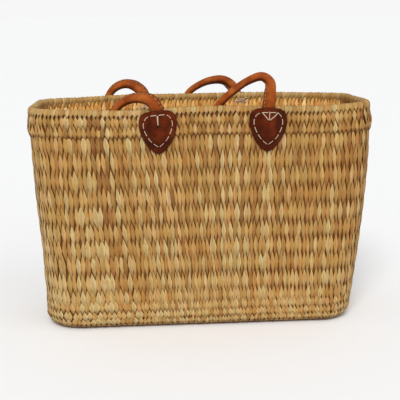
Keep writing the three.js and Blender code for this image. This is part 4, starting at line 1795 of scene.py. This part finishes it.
@dataclass
class Handle:
    """A rolled leather handle: a tube whose two edges are sewn together in a flat seam along it."""

    name: str
    node: str
    side: Side
    left: float
    right: float
    route: tuple
    steps: int = 240
    stitch_step: float = 5.2 * MM
    seam_turn: float = 0.7
    seam_thickness: float = 1.35 * MM
    pressed: float = 7.5 * MM
    # Half the thickness, and the seam's width: towards the ends and in the middle.
    body: tuple[float, float] = (6.8 * MM, 5.1 * MM)
    seam: tuple[float, float] = (3.7 * MM, 2.0 * MM)
    roll_points: int = 17
    # How burnished the five points of the seam are.
    seam_edges: tuple[float, ...] = (0.75, 0.35, 0.8, 0.35, 0.75)
    mark_length: float = 60 * MM

    def path(self) -> tuple[np.ndarray, ...]:
        """The handle's middle line and its own directions.

        Returns:
            Points, tangents, the seam's direction and the direction through the handle, and lengths.
        """
        sewn_end = ((PAD.end_height, 0.0), ((PAD.end_height + SHAPE.height) / 2, FORM.gap))
        knots = [(self.left, self.side.value * (FORM.sewn + out), z) for z, out in sewn_end]
        for pad, across, base, out, up in self.route:
            x = (self.left if pad == "left" else self.right) + across * MM
            knots.append((x, self.side.value * (getattr(FORM, base) + out * MM), SHAPE.height + up * MM))
        knots += [(self.right, self.side.value * (FORM.sewn + out), z) for z, out in sewn_end[::-1]]
        points = curve_through(np.array(knots), self.steps)
        tangent = unit(np.gradient(points, axis=0))
        through = unit(np.array([0.0, 1.0, 0.0]) - tangent[:, 1:2] * tangent)
        across = np.cross(through, tangent)
        length = np.r_[0, np.cumsum(np.linalg.norm(np.diff(points, axis=0), axis=1))]
        from_end = np.minimum(length, length[-1] - length)
        turn = (self.seam_turn * smooth_step(from_end, 44 * MM, 105 * MM))[:, None]
        seam = across * np.cos(turn) + through * np.sin(turn)
        through = through * np.cos(turn) - across * np.sin(turn)
        return points, tangent, seam, through, length

    def sizes(self, length: np.ndarray) -> tuple[np.ndarray, np.ndarray, np.ndarray]:
        """The handle's thickness along it.

        Args:
            length: Lengths from its left end.

        Returns:
            Half its width, half its thickness and the seam's width.
        """
        from_end = np.minimum(length, length[-1] - length)
        roundness = smooth_step(from_end, FORM.flat_length * 0.45, FORM.flat_length * 1.25)
        middle = smooth_step(from_end, 32 * MM, 115 * MM)
        body = self.body[0] + (self.body[1] - self.body[0]) * middle
        half_width = self.pressed * (1 - roundness) + body * roundness
        half_thickness = PAD.end_thickness / 2 * (1 - roundness) + body * roundness
        seam = self.seam[0] + (self.seam[1] - self.seam[0]) * smooth_step(from_end, 48 * MM, 60 * MM)
        return half_width, half_thickness, seam

    def leather(self) -> bpy.types.Object:
        """The rolled leather, with its seam.

        Returns:
            The finished piece.
        """
        points, _, seam, through, length = self.path()
        turns = np.radians(np.linspace(28, 332, self.roll_points))
        thin = self.seam_thickness
        loops, uvs, edges = [], [], []
        for k, (wide, deep, flange) in enumerate(zip(*self.sizes(length))):
            # The roll, then the seam's five points: its root, rounded edge and root again.
            near, reach = wide * 0.97 + 0.25 * flange, wide + flange
            a = np.r_[wide * np.cos(turns), near, reach - 0.5 * MM, reach, reach - 0.5 * MM, near]
            b = np.r_[deep * np.sin(turns), -thin * 1.05, -thin, 0.0, thin, thin * 1.05]
            loops.append(points[k] + np.outer(a, seam[k]) + np.outer(b, through[k]))
            uvs += [(i / len(a), length[k] / self.mark_length) for i in range(len(a))]
            # Painted shade: darker where the roll faces down; the seam's points are darker as burnished edges.
            painted_underside_shade = smooth_step(-unit(loops[-1] - points[k])[:, 2], 0.1, 0.7) * 0.9
            edges += np.maximum(painted_underside_shade, [*[0.0] * self.roll_points, *self.seam_edges]).tolist()
        corners = np.concatenate([*loops, points[:1], points[-1:]])
        mesh = mesh_of(self.name, SHAPE.settle(corners), tube_faces(self.steps, len(loops[0])),
                       np.array([*uvs, (0, 0), (0, 0)]), {"edge": np.array([*edges, 0.0, 0.0])})
        face_outwards(mesh)
        return finished(place_object(self.name, mesh, FINISHES.get(TAN)), (self.node,))

    def sew(self, thread: Thread) -> None:
        """Add the stitches of the seam, on both its faces.

        Args:
            thread: The thread to sew with.
        """
        points, _, seam, through, length = self.path()
        half_width, _, flange = self.sizes(length)
        hidden = FORM.flat_length * 0.6
        line = points + seam * (half_width + flange * 0.3)[:, None]
        for begin in np.arange(hidden, length[-1] - hidden, self.stitch_step):
            at = begin + self.stitch_step * np.linspace(0, 0.62, 3)
            spots, normals = (np.stack([np.interp(at, length, v[:, k]) for k in range(3)], axis=1)
                              for v in (line, through))
            for face in (-1, 1):
                thread.stitch(SHAPE.settle(spots + normals * face * 1.3 * MM), normals * face, 0.8 * MM)

    def build(self, thread: Thread) -> None:
        """Make the handle and add its stitches."""
        self.leather()
        self.sew(thread)


@dataclass
class Sewing:
    """Both handles, the four pads and all their thread."""

    front_pads: tuple = (-61 * MM, 89.5 * MM)
    back_pads: tuple = (-78 * MM, 73 * MM)

    def build(self) -> None:
        """Make the leather and the thread."""
        seams, loops = Thread("handle_thread", 0.75 * MM), Thread("pad_thread", 1.15 * MM)
        Handle("rolled_handle_front", "handle_front", Side.FRONT, *self.front_pads, FRONT_ROUTE).build(seams)
        Handle("rolled_handle_back", "handle_back", Side.BACK, *self.back_pads, BACK_ROUTE).build(seams)
        pads = (
            Pad("heart_pad_front_left", "pad_front_left", self.front_pads[0], Side.FRONT, Stitching.ONE, 0.035),
            Pad("heart_pad_front_right", "pad_front_right", self.front_pads[1], Side.FRONT, Stitching.FAN, 0.0),
            Pad("heart_pad_back_left", "pad_back_left", self.back_pads[0], Side.BACK, Stitching.FAN, 0.03,
                tie_drop=7 * MM),
            Pad("heart_pad_back_right", "pad_back_right", self.back_pads[1], Side.BACK, Stitching.ONE, -0.04),
        )
        for pad in pads:
            pad.build(loops)
        seams.build(FINISHES.get(FINE_THREAD))
        loops.build(FINISHES.get(THREAD))


@dataclass
class Studio:
    """A plain pale floor, soft light and the photograph's camera."""

    camera_at: tuple = (-86.4 * MM, -1297.1 * MM, 454.1 * MM)
    pan: float = 3.9
    down: float = 12.34
    roll: float = -0.62
    lens: float = 79.67
    floor_colour: tuple = (0.86, 0.864, 0.868)
    floor_drop: float = 0.6 * MM
    backdrop: float = 0.93
    sky: float = 0.55
    # Each lamp's strength, softness in degrees and turn in degrees.
    lamps: tuple = (("key", 2.2, 24, (46, 0, -11)), ("fill", 0.4, 60, (58, 0, 48)))

    def camera(self) -> None:
        """Set the camera at the photograph's angle."""
        pan, down, roll = (math.radians(v) for v in (self.pan, self.down, self.roll))
        ahead = Vector((math.sin(pan) * math.cos(down), math.cos(pan) * math.cos(down), -math.sin(down)))
        right = Vector((math.cos(pan), -math.sin(pan), 0))
        up = right.cross(ahead)
        x = right * math.cos(roll) + up * math.sin(roll)
        y = up * math.cos(roll) - right * math.sin(roll)
        data = bpy.data.cameras.new("camera")
        data.lens, data.sensor_width = self.lens, 36
        data.clip_start, data.clip_end = 0.05, 200
        made = bpy.data.objects.new("camera", data)
        made.matrix_world = Matrix.Translation(self.camera_at) @ Matrix((x, y, -ahead)).transposed().to_4x4()
        bpy.context.collection.objects.link(made)
        bpy.context.scene.camera = made

    def floor(self) -> None:
        """A wide, pale floor."""
        half = 40.0
        corners = [(-half, -half, 0), (half, -half, 0), (half, half, 0), (-half, half, 0)]
        mesh = bpy.data.meshes.new("floor")
        mesh.from_pydata(corners, [], [(0, 1, 2, 3)])
        material, tree, shader = new_material("floor")
        for name, value in (("Base Color", self.floor_colour), ("Roughness", 0.9), ("Specular IOR Level", 0.1)):
            feed(tree, shader.inputs[name], value)
        made = place_object("floor", mesh, material)
        made.location.z = -self.floor_drop

    def lights(self) -> None:
        """A pale sky, a soft key from the upper left and a faint fill from the right."""
        world = bpy.data.worlds.new("studio")
        bpy.context.scene.world = world
        world.use_nodes = True
        tree = world.node_tree
        lit = add_node(tree, "ShaderNodeBackground", {"Color": (1, 1, 1), "Strength": self.sky})
        seen = add_node(tree, "ShaderNodeBackground", {"Color": (self.backdrop,) * 3, "Strength": 1.0})
        ray = add_node(tree, "ShaderNodeLightPath").outputs["Is Camera Ray"]
        both = add_node(tree, "ShaderNodeMixShader", {0: ray, 1: lit.outputs[0], 2: seen.outputs[0]})
        tree.links.new(both.outputs[0], tree.nodes["World Output"].inputs["Surface"])
        for name, strength, angle, turn in self.lamps:
            data = bpy.data.lights.new(name, "SUN")
            data.energy, data.angle = strength, math.radians(angle)
            lamp = bpy.data.objects.new(name, data)
            lamp.rotation_euler = [math.radians(v) for v in turn]
            bpy.context.collection.objects.link(lamp)

    def build(self) -> None:
        """Set up the studio."""
        self.camera()
        self.floor()
        self.lights()
        bpy.context.scene.view_settings.view_transform = "Standard"


def main() -> None:
    """Build the basket from the base up, then its leather and thread, then the studio."""
    logging.basicConfig(level=logging.INFO, format="%(name)s: %(message)s")
    reeds = Reeds()
    WovenBody(reeds).build()
    Rim(reeds).build()
    Sewing().build()
    Studio().build()


if __name__ == "__main__":
    main()
